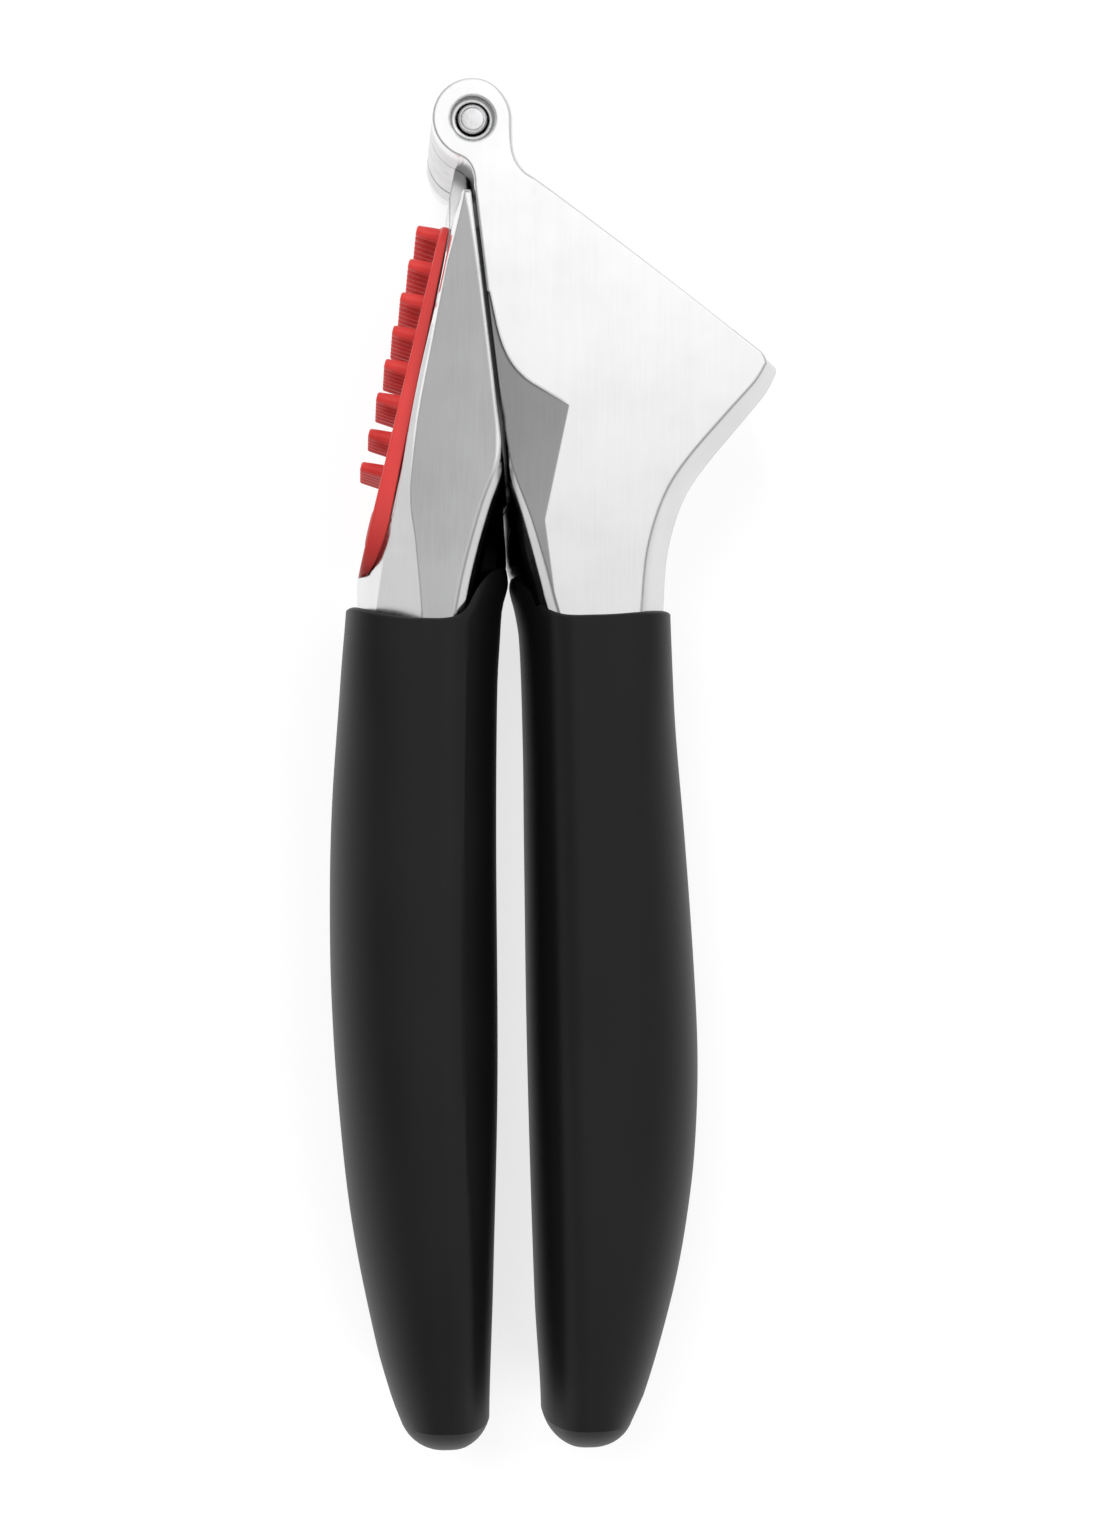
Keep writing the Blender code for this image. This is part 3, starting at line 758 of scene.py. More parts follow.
@dataclass
class HopperCasting:
    """Casting with the two ears, the hopper's cheeks and the metal of the handle."""

    bench: Bench
    ear_radius: float = 5.15
    bore_radius: float = 2.2
    recess_radius: float = 2.8
    recess_depth: float = 0.9
    slot_half: float = 7.3
    slot_radius: float = 5.5
    chamber_inner: float = 13.0
    chamber_outer: float = 49.2
    chamber_half: float = 11.4
    chamber_corner: float = 4.0
    strainer_thickness: float = 2.0
    side_flat: float = 11.8       # beyond this depth the back edge is chamfered
    edge_fillet: float = 0.22
    neck_fillet: float = 0.75
    back_edge: Sequence[Flat] = ((39.37, -31.5), (37.9, -34.3), (34.6, -38.3), (29.5, -44.5), (26.9, -49.0),
                                 (25.2, -55.1), (24.7, -61.8), (24.6, SHOULDER_Y))
    brow: Sequence[Flat] = ((-66.0, 11.5), (-60.5, 10.25), (-55.8, 9.05), (-50.2, 7.5), (-45.9, 6.15),
                            (-42.7, 5.3), (-38.0, 4.1))
    middle: Sequence[Flat] = ((-66.0, 7.6), (-58.6, 6.5), (-56.3, 5.35), (-50.0, 4.85), (-43.4, 4.4),
                              (-38.0, 4.1))

    def inner_side(self, y: float, z: float) -> float:
        """x of the side that faces the other handle: two narrow facets, then a bulge at mid-depth.

        Args:
            y: Place along the handle.
            z: Depth along the pin.

        Returns:
            The side's x.
        """
        brow, middle = value_at(self.brow, y), value_at(self.middle, y)
        share = ease((-38.0 - y) / 7.0)
        return edge_profile(brow, middle, share, HEAD_HALF - abs(z), (0.95, 1.1), (1.95, 1.6))

    def outline(self, z: float) -> list[Flat]:
        """Outline at a depth, clockwise from the notch under the ear.

        Args:
            z: Depth along the pin.

        Returns:
            The outline's points.
        """
        points = arc(self.ear_radius, -108.0, -360.0, 72)
        join = FACE.point(11.0)
        points += bezier((self.ear_radius, -0.2), (self.ear_radius, -4.6), FACE.point(7.6), join, 14)
        chamfer = min(max((abs(z) - self.side_flat) / (HEAD_HALF - self.side_flat), 0.0), 1.0)
        for step in range(1, 17):
            along = mix(11.0, 46.6, step / 17)
            points.append(FACE.point(along, 0.18 * sin(pi * step / 17)))
        corner = bezier(FACE.point(47.0), (38.4, -29.6), (39.6, -30.6), self.back_edge[0], 8)
        back = through(self.back_edge, 5)
        near = self._chamfered(back, [mix(1.9, 3.3, i / (len(back) - 1)) for i in range(len(back))])
        tight = bezier(FACE.point(46.8), FACE.point(47.3), mix(FACE.point(47.5), near[0], 0.35), near[0], 8)
        for wide, narrow in zip(corner[:-1] + back, tight[:-1] + near):
            points.append(mix(wide, narrow, chamfer))
        for step in range(29):
            y = mix(SHOULDER_Y, -38.0, step / 28)
            points.append((self.inner_side(y, z), y))
        points += [MOUTH.point(along) for along in (34.0, 28.0, 22.0, 16.0, 9.6)]
        points += bezier(MOUTH.point(8.4), (0.25, -6.9), (-0.25, -5.45), points[0], 7)[:-1]
        return points

    def _chamfered(self, path: Sequence[Flat], reach: Sequence[float]) -> list[Flat]:
        """Open path drawn in to its right, square to itself.

        Args:
            path: The path's points.
            reach: How far each point moves.

        Returns:
            The moved points.
        """
        moved = []
        for i, (x, y) in enumerate(path):
            before, after = path[max(i - 1, 0)], path[min(i + 1, len(path) - 1)]
            run = (after[0] - before[0], after[1] - before[1])
            length = hypot(*run)
            moved.append((x + run[1] / length * reach[i], y - run[0] / length * reach[i]))
        return moved

    def _fillets(self, outline: Sequence[Flat]) -> list[float]:
        """Radius of the rounded edge at each point: fuller on the ear's right side and neck.

        Args:
            outline: The cheek's outline.

        Returns:
            One radius for each point.
        """
        radii = []
        for x, y in outline:
            near = ease((x - 1.5) / 3.2) * ease((y + 10.5) / 4.0) * ease((8.6 - x) / 2.0)
            radii.append(mix(self.edge_fillet, self.neck_fillet, near))
        return radii

    def body(self) -> bpy.types.Object:
        """Solid before its openings are cut, with rounded edges.

        Returns:
            The closed solid.
        """
        levels = [0.0, 4.0, 8.0, self.side_flat, 12.8, 13.8]
        half = [[(x, y, z) for x, y in self.outline(z)] for z in levels]
        for turn in (0.0, 22.5, 45.0, 67.5, 90.0):
            sink, rise = 1.0 - cos(radians(turn)), 1.0 - sin(radians(turn))
            base = self.outline(HEAD_HALF - self.edge_fillet * rise)
            radii = self._fillets(base)
            flat = drawn_in(base, [radius * sink for radius in radii])
            half.append([(x, y, HEAD_HALF - radius * rise) for (x, y), radius in zip(flat, radii)])
        mirrored = [[(x, y, -z) for x, y, z in ring] for ring in reversed(half[1:])]
        return self.bench.loft("hopper_casting", mirrored + half)

    def chamber_section(self, shrink: float = 0.0) -> list[Flat]:
        """Section of the chamber as (radius, z): square near the hinge, rounded at its far corners."""
        radius = max(self.chamber_corner - shrink, 1.0)
        start, end, half = self.chamber_inner + shrink, self.chamber_outer - shrink, self.chamber_half - shrink
        return round_ended(start, end, half, radius)

    def slot(self) -> bpy.types.Object:
        """Space between the ears, round the other half's knuckle.

        Returns:
            The cutter.
        """
        bed = FACE.moved(-0.15)
        near = bed.bearing(self.slot_radius)
        outline = [bed.point(12.0)] + arc(self.slot_radius, near, 2.0 * bed.angle - near - 180.0, 48)
        outline += [bed.point(-9.0), bed.point(-9.0, 9.0), bed.point(12.0, 9.0)]
        return self.bench.prism("slot", outline, -self.slot_half, self.slot_half)

    def scoop(self, label: str, outline: Sequence[Flat], first: Flat, second: Flat, side: int
              ) -> bpy.types.Object:
        """Cutter for a facet that falls away to the left of an edge on one cheek.

        Args:
            label: Name of the facet.
            outline: Outline of the facet.
            first: Start of the edge.
            second: End of the edge.
            side: 1 for the upper cheek, -1 for the lower.

        Returns:
            The cutter.
        """
        slope = 0.1
        run = (second[0] - first[0], second[1] - first[1])
        bottom, above = [], []
        for x, y in outline:
            left = ((x - first[0]) * run[1] - (y - first[1]) * run[0]) / hypot(*run)
            bottom.append((x, y, side * (HEAD_HALF - slope * left)))
            above.append((x, y, side * (HEAD_HALF + 6.0)))
        return self.bench.loft(f"{label}_{side}", [bottom, above])

    def build(self, tang: bpy.types.Object) -> bpy.types.Object:
        """Make the casting.

        Args:
            tang: Bar that continues the casting inside its grip.

        Returns:
            The finished mesh object.
        """
        bench = self.bench
        piece = self.body()
        bench.combine(piece, [tang], "UNION")
        bed = FACE.moved(-self.strainer_thickness)
        tools = [bench.sector("chamber", self.chamber_section(), Line(MOUTH.angle - 12.0, 0.0), bed, 48)]
        pocket = strainer_outline(FIT)
        tools.append(bench.slab("pocket", FACE, [(pocket, 4.0), (pocket, -self.strainer_thickness - FIT)]))
        tools.append(self.slot())
        bore = [(self.bore_radius, -20.0), (self.bore_radius, 20.0)]
        tools.append(bench.turned("bore", bore, 64))
        corner, waist, end = (12.3, -36.35), (9.2, -51.0), (11.1, -65.6)
        brow = bezier((2.8, -25.0), (3.7, -29.8), (5.2, -32.4), (8.6, -34.2), 10)
        upper = [(-3.0, -22.0), (2.15, -22.0)] + brow + [corner, (15.5, -38.3), (12.7, -51.0), (-3.0, -51.0)]
        lower = [(-3.0, -50.98), (12.7, -50.98), (14.1, -70.0), (-3.0, -70.0)]
        for side in (1, -1):
            top = HEAD_HALF * side
            profile = [(self.recess_radius + 1.2, top + 1.0 * side), (self.recess_radius + 0.2, top),
                       (self.recess_radius + 0.06, top - 0.1 * side), (self.recess_radius, top - 0.3 * side),
                       (self.recess_radius - 0.12, top - (self.recess_depth - 0.1) * side),
                       (self.recess_radius - 0.3, top - self.recess_depth * side)]
            tools.append(bench.turned(f"recess_{side}", profile, 72))
            tools.append(self.scoop("upper_scoop", upper, corner, waist, side))
            tools.append(self.scoop("lower_scoop", lower, waist, end, side))
        bench.combine(piece, tools, "DIFFERENCE")
        self.mark_facet_shade(piece)
        bench.crisp(piece, 5.5)
        return piece

    def mark_facet_shade(self, piece: bpy.types.Object) -> None:
        """Give the scoops' floors and the back chamfer a face attribute, for the painted shade that darkens
        them.

        Args:
            piece: The casting.
        """
        mark = piece.data.attributes.new("milled", "FLOAT", "FACE")
        for face in piece.data.polygons:
            x, y, _ = (face.center / MM) - Vector(HINGE)
            tilted = 0.985 < abs(face.normal.z) < 0.9975 and face.normal.x < -0.05
            chamfer = 0.45 < abs(face.normal.z) < 0.93 and x > 20.0 and y < -26.0
            scooped = tilted and 0.0 < x < 14.0 and y < -14.0
            # 1 marks a scoop's floor and 0.5 the back chamfer, for painted shade
            mark.data[face.index].value = 1.0 if scooped else 0.5 if chamfer else 0.0


def edge_profile(brow: float, middle: float, share: float, depth: float,
                 first: Flat, second: Flat) -> float:
    """x of a handle's inner side at a depth below the cheek's face.

    Args:
        brow: x where the cheek's face ends.
        middle: x at the middle plane.
        share: 0 where the side is flat, 1 where it has its two narrow facets.
        depth: Distance below the face.
        first: (depth, reach towards the other handle) of the first facet's end.
        second: The same for the second facet.

    Returns:
        The side's x.
    """
    toward = -1.0 if middle < brow else 1.0
    if depth <= first[0]:
        reach = first[1] * depth / first[0]
    elif depth <= second[0]:
        reach = mix(first[1], second[1], (depth - first[0]) / (second[0] - first[0]))
    else:
        rest = max(abs(middle - brow) / max(share, 0.001) - second[1], 0.0)
        inward = (HEAD_HALF - depth) / (HEAD_HALF - second[0])
        reach = second[1] + rest * (1.0 - inward * inward) ** 0.5
    return brow + toward * min(reach * share, abs(middle - brow))


def strainer_outline(grow: float) -> list[Flat]:
    """Outline of the strainer as (along, z), with rounded far corners."""
    return round_ended(12.5 - grow, 49.3 + grow, 11.9 + grow, 4.0)


# ---------------------------------------------------------------- plunger half

@dataclass
class PlungerCasting:
    """Casting with the knuckle, the faceted body and the metal of the handle."""

    bench: Bench
    right: Sequence[Flat] = ((-9.0, -0.95), (-10.2, -0.85), (-12.3, -0.4), (-19.9, 0.7), (-35.8, 2.62),
                             (-40.5, 3.0), (-42.3, 2.98), (-43.8, 2.8), (-46.1, 2.15), (-49.1, 1.05),
                             (-55.0, -0.65), (-60.6, -1.9), (-66.0, -2.6))
    left: Sequence[Flat] = ((-9.0, -1.05), (-10.2, -1.2), (-15.0, -2.3), (-18.0, -3.1), (-28.0, -5.05),
                            (-37.6, -6.85), (-45.9, -7.8), (-48.5, -7.85), (-53.5, -7.25), (-61.8, -6.5),
                            (-66.0, -6.3))
    land: Sequence[Flat] = ((-9.0, -0.1), (-10.0, 0.0), (-12.3, 0.22), (-19.9, 1.22), (-35.8, 2.9),
                            (-40.5, 3.5), (-43.4, 3.6))
    rim: Sequence[Flat] = ((-9.0, -1.35), (-12.7, -2.35), (-20.2, -3.9), (-26.6, -5.4), (-33.0, -6.85),
                           (-39.4, -8.1), (-45.8, -9.2), (-50.9, -10.2), (-54.1, -10.95), (-61.8, -12.1),
                           (-66.0, -12.5))
    middle: Sequence[Flat] = ((-66.0, 3.1), (-58.6, 3.8), (-56.3, 5.1), (-50.0, 4.62), (-43.4, 4.05),
                              (-41.0, 3.7))
    facet_tilt: float = 6.0
    knuckle_half: float = 7.0
    knuckle_radius: float = 5.15
    bore_radius: float = 2.2

    def section(self, y: float) -> Ring:
        """Section of the body across the handle at a y, from the middle of its inner side.

        Args:
            y: Place along the handle.

        Returns:
            The ring.
        """
        right, left, rim = (value_at(knots, y) for knots in (self.right, self.left, self.rim))
        flat_side = min(value_at(self.land, y) + 0.12, MOUTH.moved(-0.45).at_height(y)[0])
        share = ease((-40.5 - y) / 6.0)
        middle = mix(flat_side, value_at(self.middle, y), ease((-38.0 - y) / 5.0))
        brow = mix(flat_side, right + 0.02, share)
        tilt = mix(self.facet_tilt, 5.0, ease((-36.0 - y) / 26.0))
        left_z = HEAD_HALF - tan(radians(tilt)) * (right - left)
        out = ease((-50.0 - y) / 7.0)
        seat = mix(rim - 0.02, max(CLEANER.at_height(y)[0], -14.6), out)
        first, second = (0.9, 1.15), (3.4, 2.4)
        half = []
        for depth in (HEAD_HALF, 10.75, 7.25, 5.0, 3.4, 2.6, 1.7, first[0]):
            half.append((edge_profile(brow, middle, share, depth, first, second), HEAD_HALF - depth))
        inner_edge = edge_profile(brow, middle, share, 0.18, first, second)
        half += [(inner_edge, HEAD_HALF - 0.18), (min(brow - 0.05, inner_edge - 0.06), HEAD_HALF - 0.06),
                 (min(brow - 0.14, inner_edge - 0.16), HEAD_HALF)]
        half.append((min(right, half[-1][0] - 0.02), HEAD_HALF))
        half.append((left, left_z))
        lip = mix(0.24, 0.04, ease((-36.0 - y) / 12.0)) * min(1.0, (left - rim) / 0.5)
        half.append((left - lip, left_z - 1.3 * lip))
        rim_z = min(left_z - 1.3 * lip - tan(radians(mix(38.0, 36.5, out))) * (left - lip - rim), 13.4)
        half.append((rim, rim_z))
        half.append((seat, rim_z - mix(0.15, 1.05 * (rim - seat), out)))
        half.append((seat, 5.0))
        mirrored = [(x, -z) for x, z in reversed(half[1:])]
        return [(x, y, z) for x, z in half + [(seat, 0.0)] + mirrored]

    def body(self) -> bpy.types.Object:
        """Skin through the sections, from the tip beside the hinge to the shoulder in the grip.

        Returns:
            The closed solid.
        """
        places = [-9.0, -9.15, -9.5, -10.0, -10.7, -11.5, -12.5, -14.0, -16.0]
        places += [-18.0 - 2.0 * step for step in range(10)]
        places += [-37.0 - 0.75 * step for step in range(39)]
        rings = []
        for y in places + [SHOULDER_Y]:
            ring = self.section(y)
            drop = 1.0 - (max(y + 9.5, 0.0) / 0.5) ** 2
            droop = 0.45 * (1.0 - max(drop, 0.0) ** 0.5)
            ring_at = []
            for x, py, z in ring:
                ring_at.append((x, py, z - droop * (1 if z > 0 else -1) if abs(z) > 12.0 else z))
            rings.append(ring_at)
        return self.bench.loft("plunger_casting", rings)

    def build(self, tang: bpy.types.Object) -> bpy.types.Object:
        """Make the casting.

        Args:
            tang: Bar that continues the casting inside its grip.

        Returns:
            The finished mesh object.
        """
        bench = self.bench
        piece = self.body()
        half, radius, soft = self.knuckle_half, self.knuckle_radius, 0.25
        profile = [(radius - soft, -half), (radius - 0.3 * soft, -half + 0.3 * soft), (radius, -half + soft),
                   (radius, half - soft), (radius - 0.3 * soft, half - 0.3 * soft), (radius - soft, half)]
        inner = MOUTH.moved(-0.45)
        neck = [(-3.2, -2.0), (-0.75, -4.0), inner.point(9.5, -0.1), inner.point(14.0, -0.3),
                CLEANER.point(14.5, 1.4), CLEANER.point(9.0, 0.1), CLEANER.point(4.0, -0.1)]
        tools = [tang, bench.turned("knuckle", profile, 96), bench.prism("neck", neck, -half, half)]
        bench.combine(piece, tools, "UNION")
        seat = bench.slab("seat", CLEANER, [(cleaner_outline(FIT), -6.0),
                                            (cleaner_outline(FIT), lambda along: cleaner_back(along) + FIT)])
        bore = bench.turned("bore", [(self.bore_radius, -20.0), (self.bore_radius, 20.0)], 64)
        bench.combine(piece, [seat, bore], "DIFFERENCE")
        bench.crisp(piece, 4.2)
        return piece


def cleaner_outline(grow: float = 0.0) -> list[Flat]:
    """Outline of the cleaner plate as (along, z): a tongue with a squarish round lower end.

    Args:
        grow: How far it grows on every side.

    Returns:
        The outline's points.
    """
    start, round_from, end, half, radius = 13.2 - grow, 50.0, 60.2 + grow, 12.0 + grow, 3.0
    low = arc(radius, -180.0, -90.0, 8, (start + radius, radius - half))
    high = arc(radius, 90.0, 180.0, 8, (start + radius, half - radius))
    tongue, power = [], 2.0 / 3.4
    for step in range(49):
        turn = radians(-90.0 + 180.0 * step / 48)
        z = half * abs(sin(turn)) ** power
        tongue.append((round_from + (end - round_from) * abs(cos(turn)) ** power, z if turn > 0 else -z))
    return low + tongue + high


def cleaner_back(along: float) -> float:
    """Thickness of the cleaner plate at a distance from the hinge, thinned towards its round end."""
    end = min(max((along - 52.0) / 8.2, 0.0), 1.0)
    return mix(1.1, 2.3, min((along - 13.2) / 38.8, 1.0)) * max(1.0 - end * end, 0.02) ** 0.5


# ---------------------------------------------------------------- grids of pins and holes

@dataclass
class Grid:
    """Geometry Nodes tree that repeats one small solid in rows and columns on a plate.

    The last rows have fewer columns, to suit the hopper's rounded corners.
    """

    bench: Bench
    line: Line
    first: float = 14.5
    pitch: float = 4.43
    rows: int = 8
    columns: int = 7
    spacing: float = 3.0
    full_rows: int = 6
    short_columns: int = 5

    def tree(self, cut: bool) -> bpy.types.GeometryNodeTree:
        """Make the tree.

        Args:
            cut: True to cut the copies out of the plate, False to add them to it.

        Returns:
            The tree, with named inputs for its sizes.
        """
        made = bpy.data.node_groups.new("holes" if cut else "pins", "GeometryNodeTree")
        face = made.interface
        face.new_socket("Geometry", in_out="INPUT", socket_type="NodeSocketGeometry")
        for name, kind in (("Rows", "Int"), ("Columns", "Int"), ("Full Rows", "Int"), ("Row Pitch", "Float"),
                           ("Column Pitch", "Float"), ("Short Half", "Float"), ("Copy", "Object"),
                           ("Place", "Vector"), ("Turn", "Vector"), ("Finish", "Material")):
            face.new_socket(name, in_out="INPUT", socket_type=f"NodeSocket{kind}")
        face.new_socket("Geometry", in_out="OUTPUT", socket_type="NodeSocketGeometry")
        net = Net(made)
        ends = made.nodes.new("NodeGroupInput")
        given = {socket.name: Socket(net, socket) for socket in ends.outputs if socket.name}
        length = (given["Rows"] - 1.0) * given["Row Pitch"]
        width = (given["Columns"] - 1.0) * given["Column Pitch"]
        mesh = net.node("GeometryNodeMeshGrid", {}, {
            "Size X": length, "Size Y": width, "Vertices X": given["Rows"], "Vertices Y": given["Columns"]})
        where = net.node("GeometryNodeInputPosition", {}, {})
        split = net.node("ShaderNodeSeparateXYZ", {}, {0: where})
        across = net.node("ShaderNodeSeparateXYZ", {}, {0: where}, 1)
        row_limit = given["Row Pitch"] * (given["Full Rows"] - 0.5) - length * 0.5
        late = net.node("FunctionNodeCompare", {"operation": "GREATER_THAN"}, {0: split, 1: row_limit})
        wide = net.node("FunctionNodeCompare", {"operation": "GREATER_THAN"},
                        {0: across.size(), 1: given["Short Half"]})
        both = net.node("FunctionNodeBooleanMath", {"operation": "AND"}, {0: late, 1: wide})
        kept = net.node("GeometryNodeDeleteGeometry", {"domain": "POINT"},
                        {"Geometry": mesh, "Selection": both})
        copy = net.node("GeometryNodeObjectInfo", {}, {"Object": given["Copy"]}, "Geometry")
        copies = net.node("GeometryNodeInstanceOnPoints", {}, {"Points": kept, "Instance": copy})
        solid = net.node("GeometryNodeRealizeInstances", {}, {"Geometry": copies})
        placed = net.node("GeometryNodeTransform", {}, {"Geometry": solid, "Translation": given["Place"],
                                                        "Rotation": given["Turn"]})
        if cut:
            plate = net.node("GeometryNodeMeshBoolean", {"operation": "DIFFERENCE", "solver": "EXACT"},
                             {"Mesh 1": given["Geometry"], "Mesh 2": placed})
        else:
            plate = net.node("GeometryNodeJoinGeometry", {}, {})
            made.links.new(given["Geometry"].link, plate.link.node.inputs[0])
            made.links.new(placed.link, plate.link.node.inputs[0])
        dressed = net.node("GeometryNodeSetMaterial", {}, {"Geometry": plate, "Material": given["Finish"]})
        out = made.nodes.new("NodeGroupOutput")
        made.links.new(dressed.link, out.inputs[0])
        return made

    def apply(self, plate: bpy.types.Object, copy: bpy.types.Object, finish: Finish, cut: bool) -> None:
        """Repeat a solid over a plate and settle the result into plain mesh.

        Args:
            plate: The plate, in its place.
            copy: The small solid, drawn about the origin with its axis along z.
            finish: The plate's material.
            cut: True for holes, False for pins.
        """
        middle = self.line.point(self.first + self.pitch * (self.rows - 1) / 2)
        material = bpy.data.materials.get(finish.name) or finish.material()
        sizes = {
            "Rows": self.rows, "Columns": self.columns, "Full Rows": self.full_rows,
            "Row Pitch": self.pitch * MM, "Column Pitch": self.spacing * MM,
            "Short Half": self.spacing * self.short_columns / 2 * MM,
            "Copy": copy, "Place": tuple(self.bench.hinge + Vector((*middle, 0.0)) * MM),
            "Turn": (radians(90.0), 0.0, radians(self.line.angle)), "Finish": material,
        }
        step = plate.modifiers.new("grid", "NODES")
        step.node_group = self.tree(cut)
        for socket in step.node_group.interface.items_tree:
            if socket.in_out == "INPUT" and socket.name in sizes:
                step[socket.identifier] = sizes[socket.name]
        self.bench.settle(plate)
        bpy.data.meshes.remove(copy.data)


@dataclass
class Strainer:
    """Perforated floor of the hopper."""

    bench: Bench
    thickness: float = 2.0
    hole_radius: float = 1.3

    def build(self) -> bpy.types.Object:
        """Make the plate, with softened edges and its grid of holes.

        Returns:
            The finished plate.
        """
        layers = []
        for inset, above in ((0.25, 0.0), (0.07, -0.07), (0.0, -0.25), (0.0, 0.25 - self.thickness),
                             (0.07, 0.07 - self.thickness), (0.25, -self.thickness)):
            layers.append((strainer_outline(-inset), above))
        plate = self.bench.slab("perforated_plate", FACE, layers)
        radius, top = self.hole_radius, self.thickness / 2
        profile = [(radius + 0.5, -top - 0.5), (radius + 0.14, -top - 0.02), (radius, -top + 0.16),
                   (radius, top - 0.16), (radius + 0.14, top + 0.02), (radius + 0.5, top + 0.5)]
        hole = Bench(Vector()).turned("hole", profile, 24)
        grid = Grid(self.bench, FACE.moved(-top))
        grid.apply(plate, hole, ZINC, cut=True)
        self.bench.crisp(plate, 32.0)
        return plate


@dataclass
class Cleaner:
    """Red plate whose pins push the strainer's holes clear when the press is folded over."""

    bench: Bench
    pin_length: float = 3.0
    pin_base: float = 0.95
    pin_tip: float = 0.74
    edge: float = 0.42
    pad_along: float = 52.5

    def plate(self) -> bpy.types.Object:
        """Tongue-shaped plate, rounded along its outer edge.

        Returns:
            The closed solid.
        """
        layers = []
        for turn in (90.0, 67.5, 45.0, 22.5, 0.0):
            inset, sink = self.edge * (1.0 - cos(radians(turn))), self.edge * (1.0 - sin(radians(turn)))
            layers.append((cleaner_outline(-inset), sink))
        layers.append((cleaner_outline(), lambda along: cleaner_back(along) - 0.12))
        layers.append((cleaner_outline(-0.12), cleaner_back))
        return self.bench.slab("cleaner", CLEANER, layers)

    def pad(self) -> bpy.types.Object:
        """Low oval pad for the thumb, with a low crown.

        Returns:
            The closed solid.
        """
        layers = []
        for share, height in ((1.0, -0.4), (1.0, 0.1), (0.97, 0.19), (0.9, 0.26), (0.78, 0.3)):
            ring = []
            for step in range(48):
                turn = radians(7.5 * step)
                ring.append((self.pad_along + 2.5 * share * cos(turn), 4.5 * share * sin(turn)))
            layers.append((ring, -height))
        return self.bench.slab("thumb_pad", CLEANER, layers)

    def pin(self) -> bpy.types.Object:
        """One tapered pin with a rounded tip and a small fillet at its foot.

        Returns:
            The pin, about the origin.
        """
        tip, round_tip = self.pin_length, 0.34
        profile = [(self.pin_base + 0.16, -0.3), (self.pin_base + 0.16, 0.0), (self.pin_base + 0.05, 0.05),
                   (self.pin_base, 0.18), (mix(self.pin_base, self.pin_tip, 0.5), tip / 2)]
        for turn in (0.0, 30.0, 60.0, 88.0):
            inset = round_tip * (1.0 - cos(radians(turn)))
            profile.append((self.pin_tip - inset, tip - round_tip + round_tip * sin(radians(turn))))
        return Bench(Vector()).turned("pin", profile, 20)

    def build(self) -> bpy.types.Object:
        """Make the plate with its pad and pins.

        Returns:
            The finished piece.
        """
        piece = self.plate()
        self.bench.combine(piece, [self.pad()], "UNION")
        Grid(self.bench, CLEANER).apply(piece, self.pin(), RED, cut=False)
        self.bench.crisp(piece, 35.0)
        return piece


@dataclass
class HingePin:
    """Steel pin, turned with a bevel and a shallow ring at each end."""

    bench: Bench
    radius: float = 1.9
    end: float = 14.4

    def build(self) -> bpy.types.Object:
        """Make the pin.

        Returns:
            The finished pin.
        """
        half = [(self.radius, 0.0), (self.radius, self.end - 0.4), (self.radius - 0.06, self.end - 0.22),
                (self.radius - 0.26, self.end - 0.05), (self.radius - 0.34, self.end - 0.05),
                (self.radius - 0.4, self.end - 0.12), (self.radius - 0.48, self.end - 0.1),
                (self.radius - 0.56, self.end - 0.01), (self.radius - 0.7, self.end), (0.02, self.end)]
        profile = [(radius, -z) for radius, z in reversed(half[1:])] + half
        piece = self.bench.turned("turned_pin", profile, 72)
        self.bench.crisp(piece, 25.0)
        return piece


@dataclass
class PlungerHead:
    """Hollow pressing block that sweeps through the hopper."""

    bench: Bench
    hopper: HopperCasting
    clearance: float = 0.4
    press_gap: float = 0.5
    wall: float = 3.0

    def build(self) -> bpy.types.Object:
        """Make the block, open towards the arm.

        Returns:
            The finished block.
        """
        face = FACE.moved(-self.hopper.strainer_thickness - self.press_gap)
        root = MOUTH.moved(-0.45)
        section = self.hopper.chamber_section(self.clearance)
        head = self.bench.sector("pressing_block", section, root, face, 40)
        hollow = self.hopper.chamber_section(self.clearance + self.wall)
        tool = self.bench.sector("hollow", hollow, root.moved(-3.0), face.moved(-self.wall), 36)
        self.bench.combine(head, [tool], "DIFFERENCE")
        self.bench.crisp(head, 20.0)
        return head


# ---------------------------------------------------------------- grips

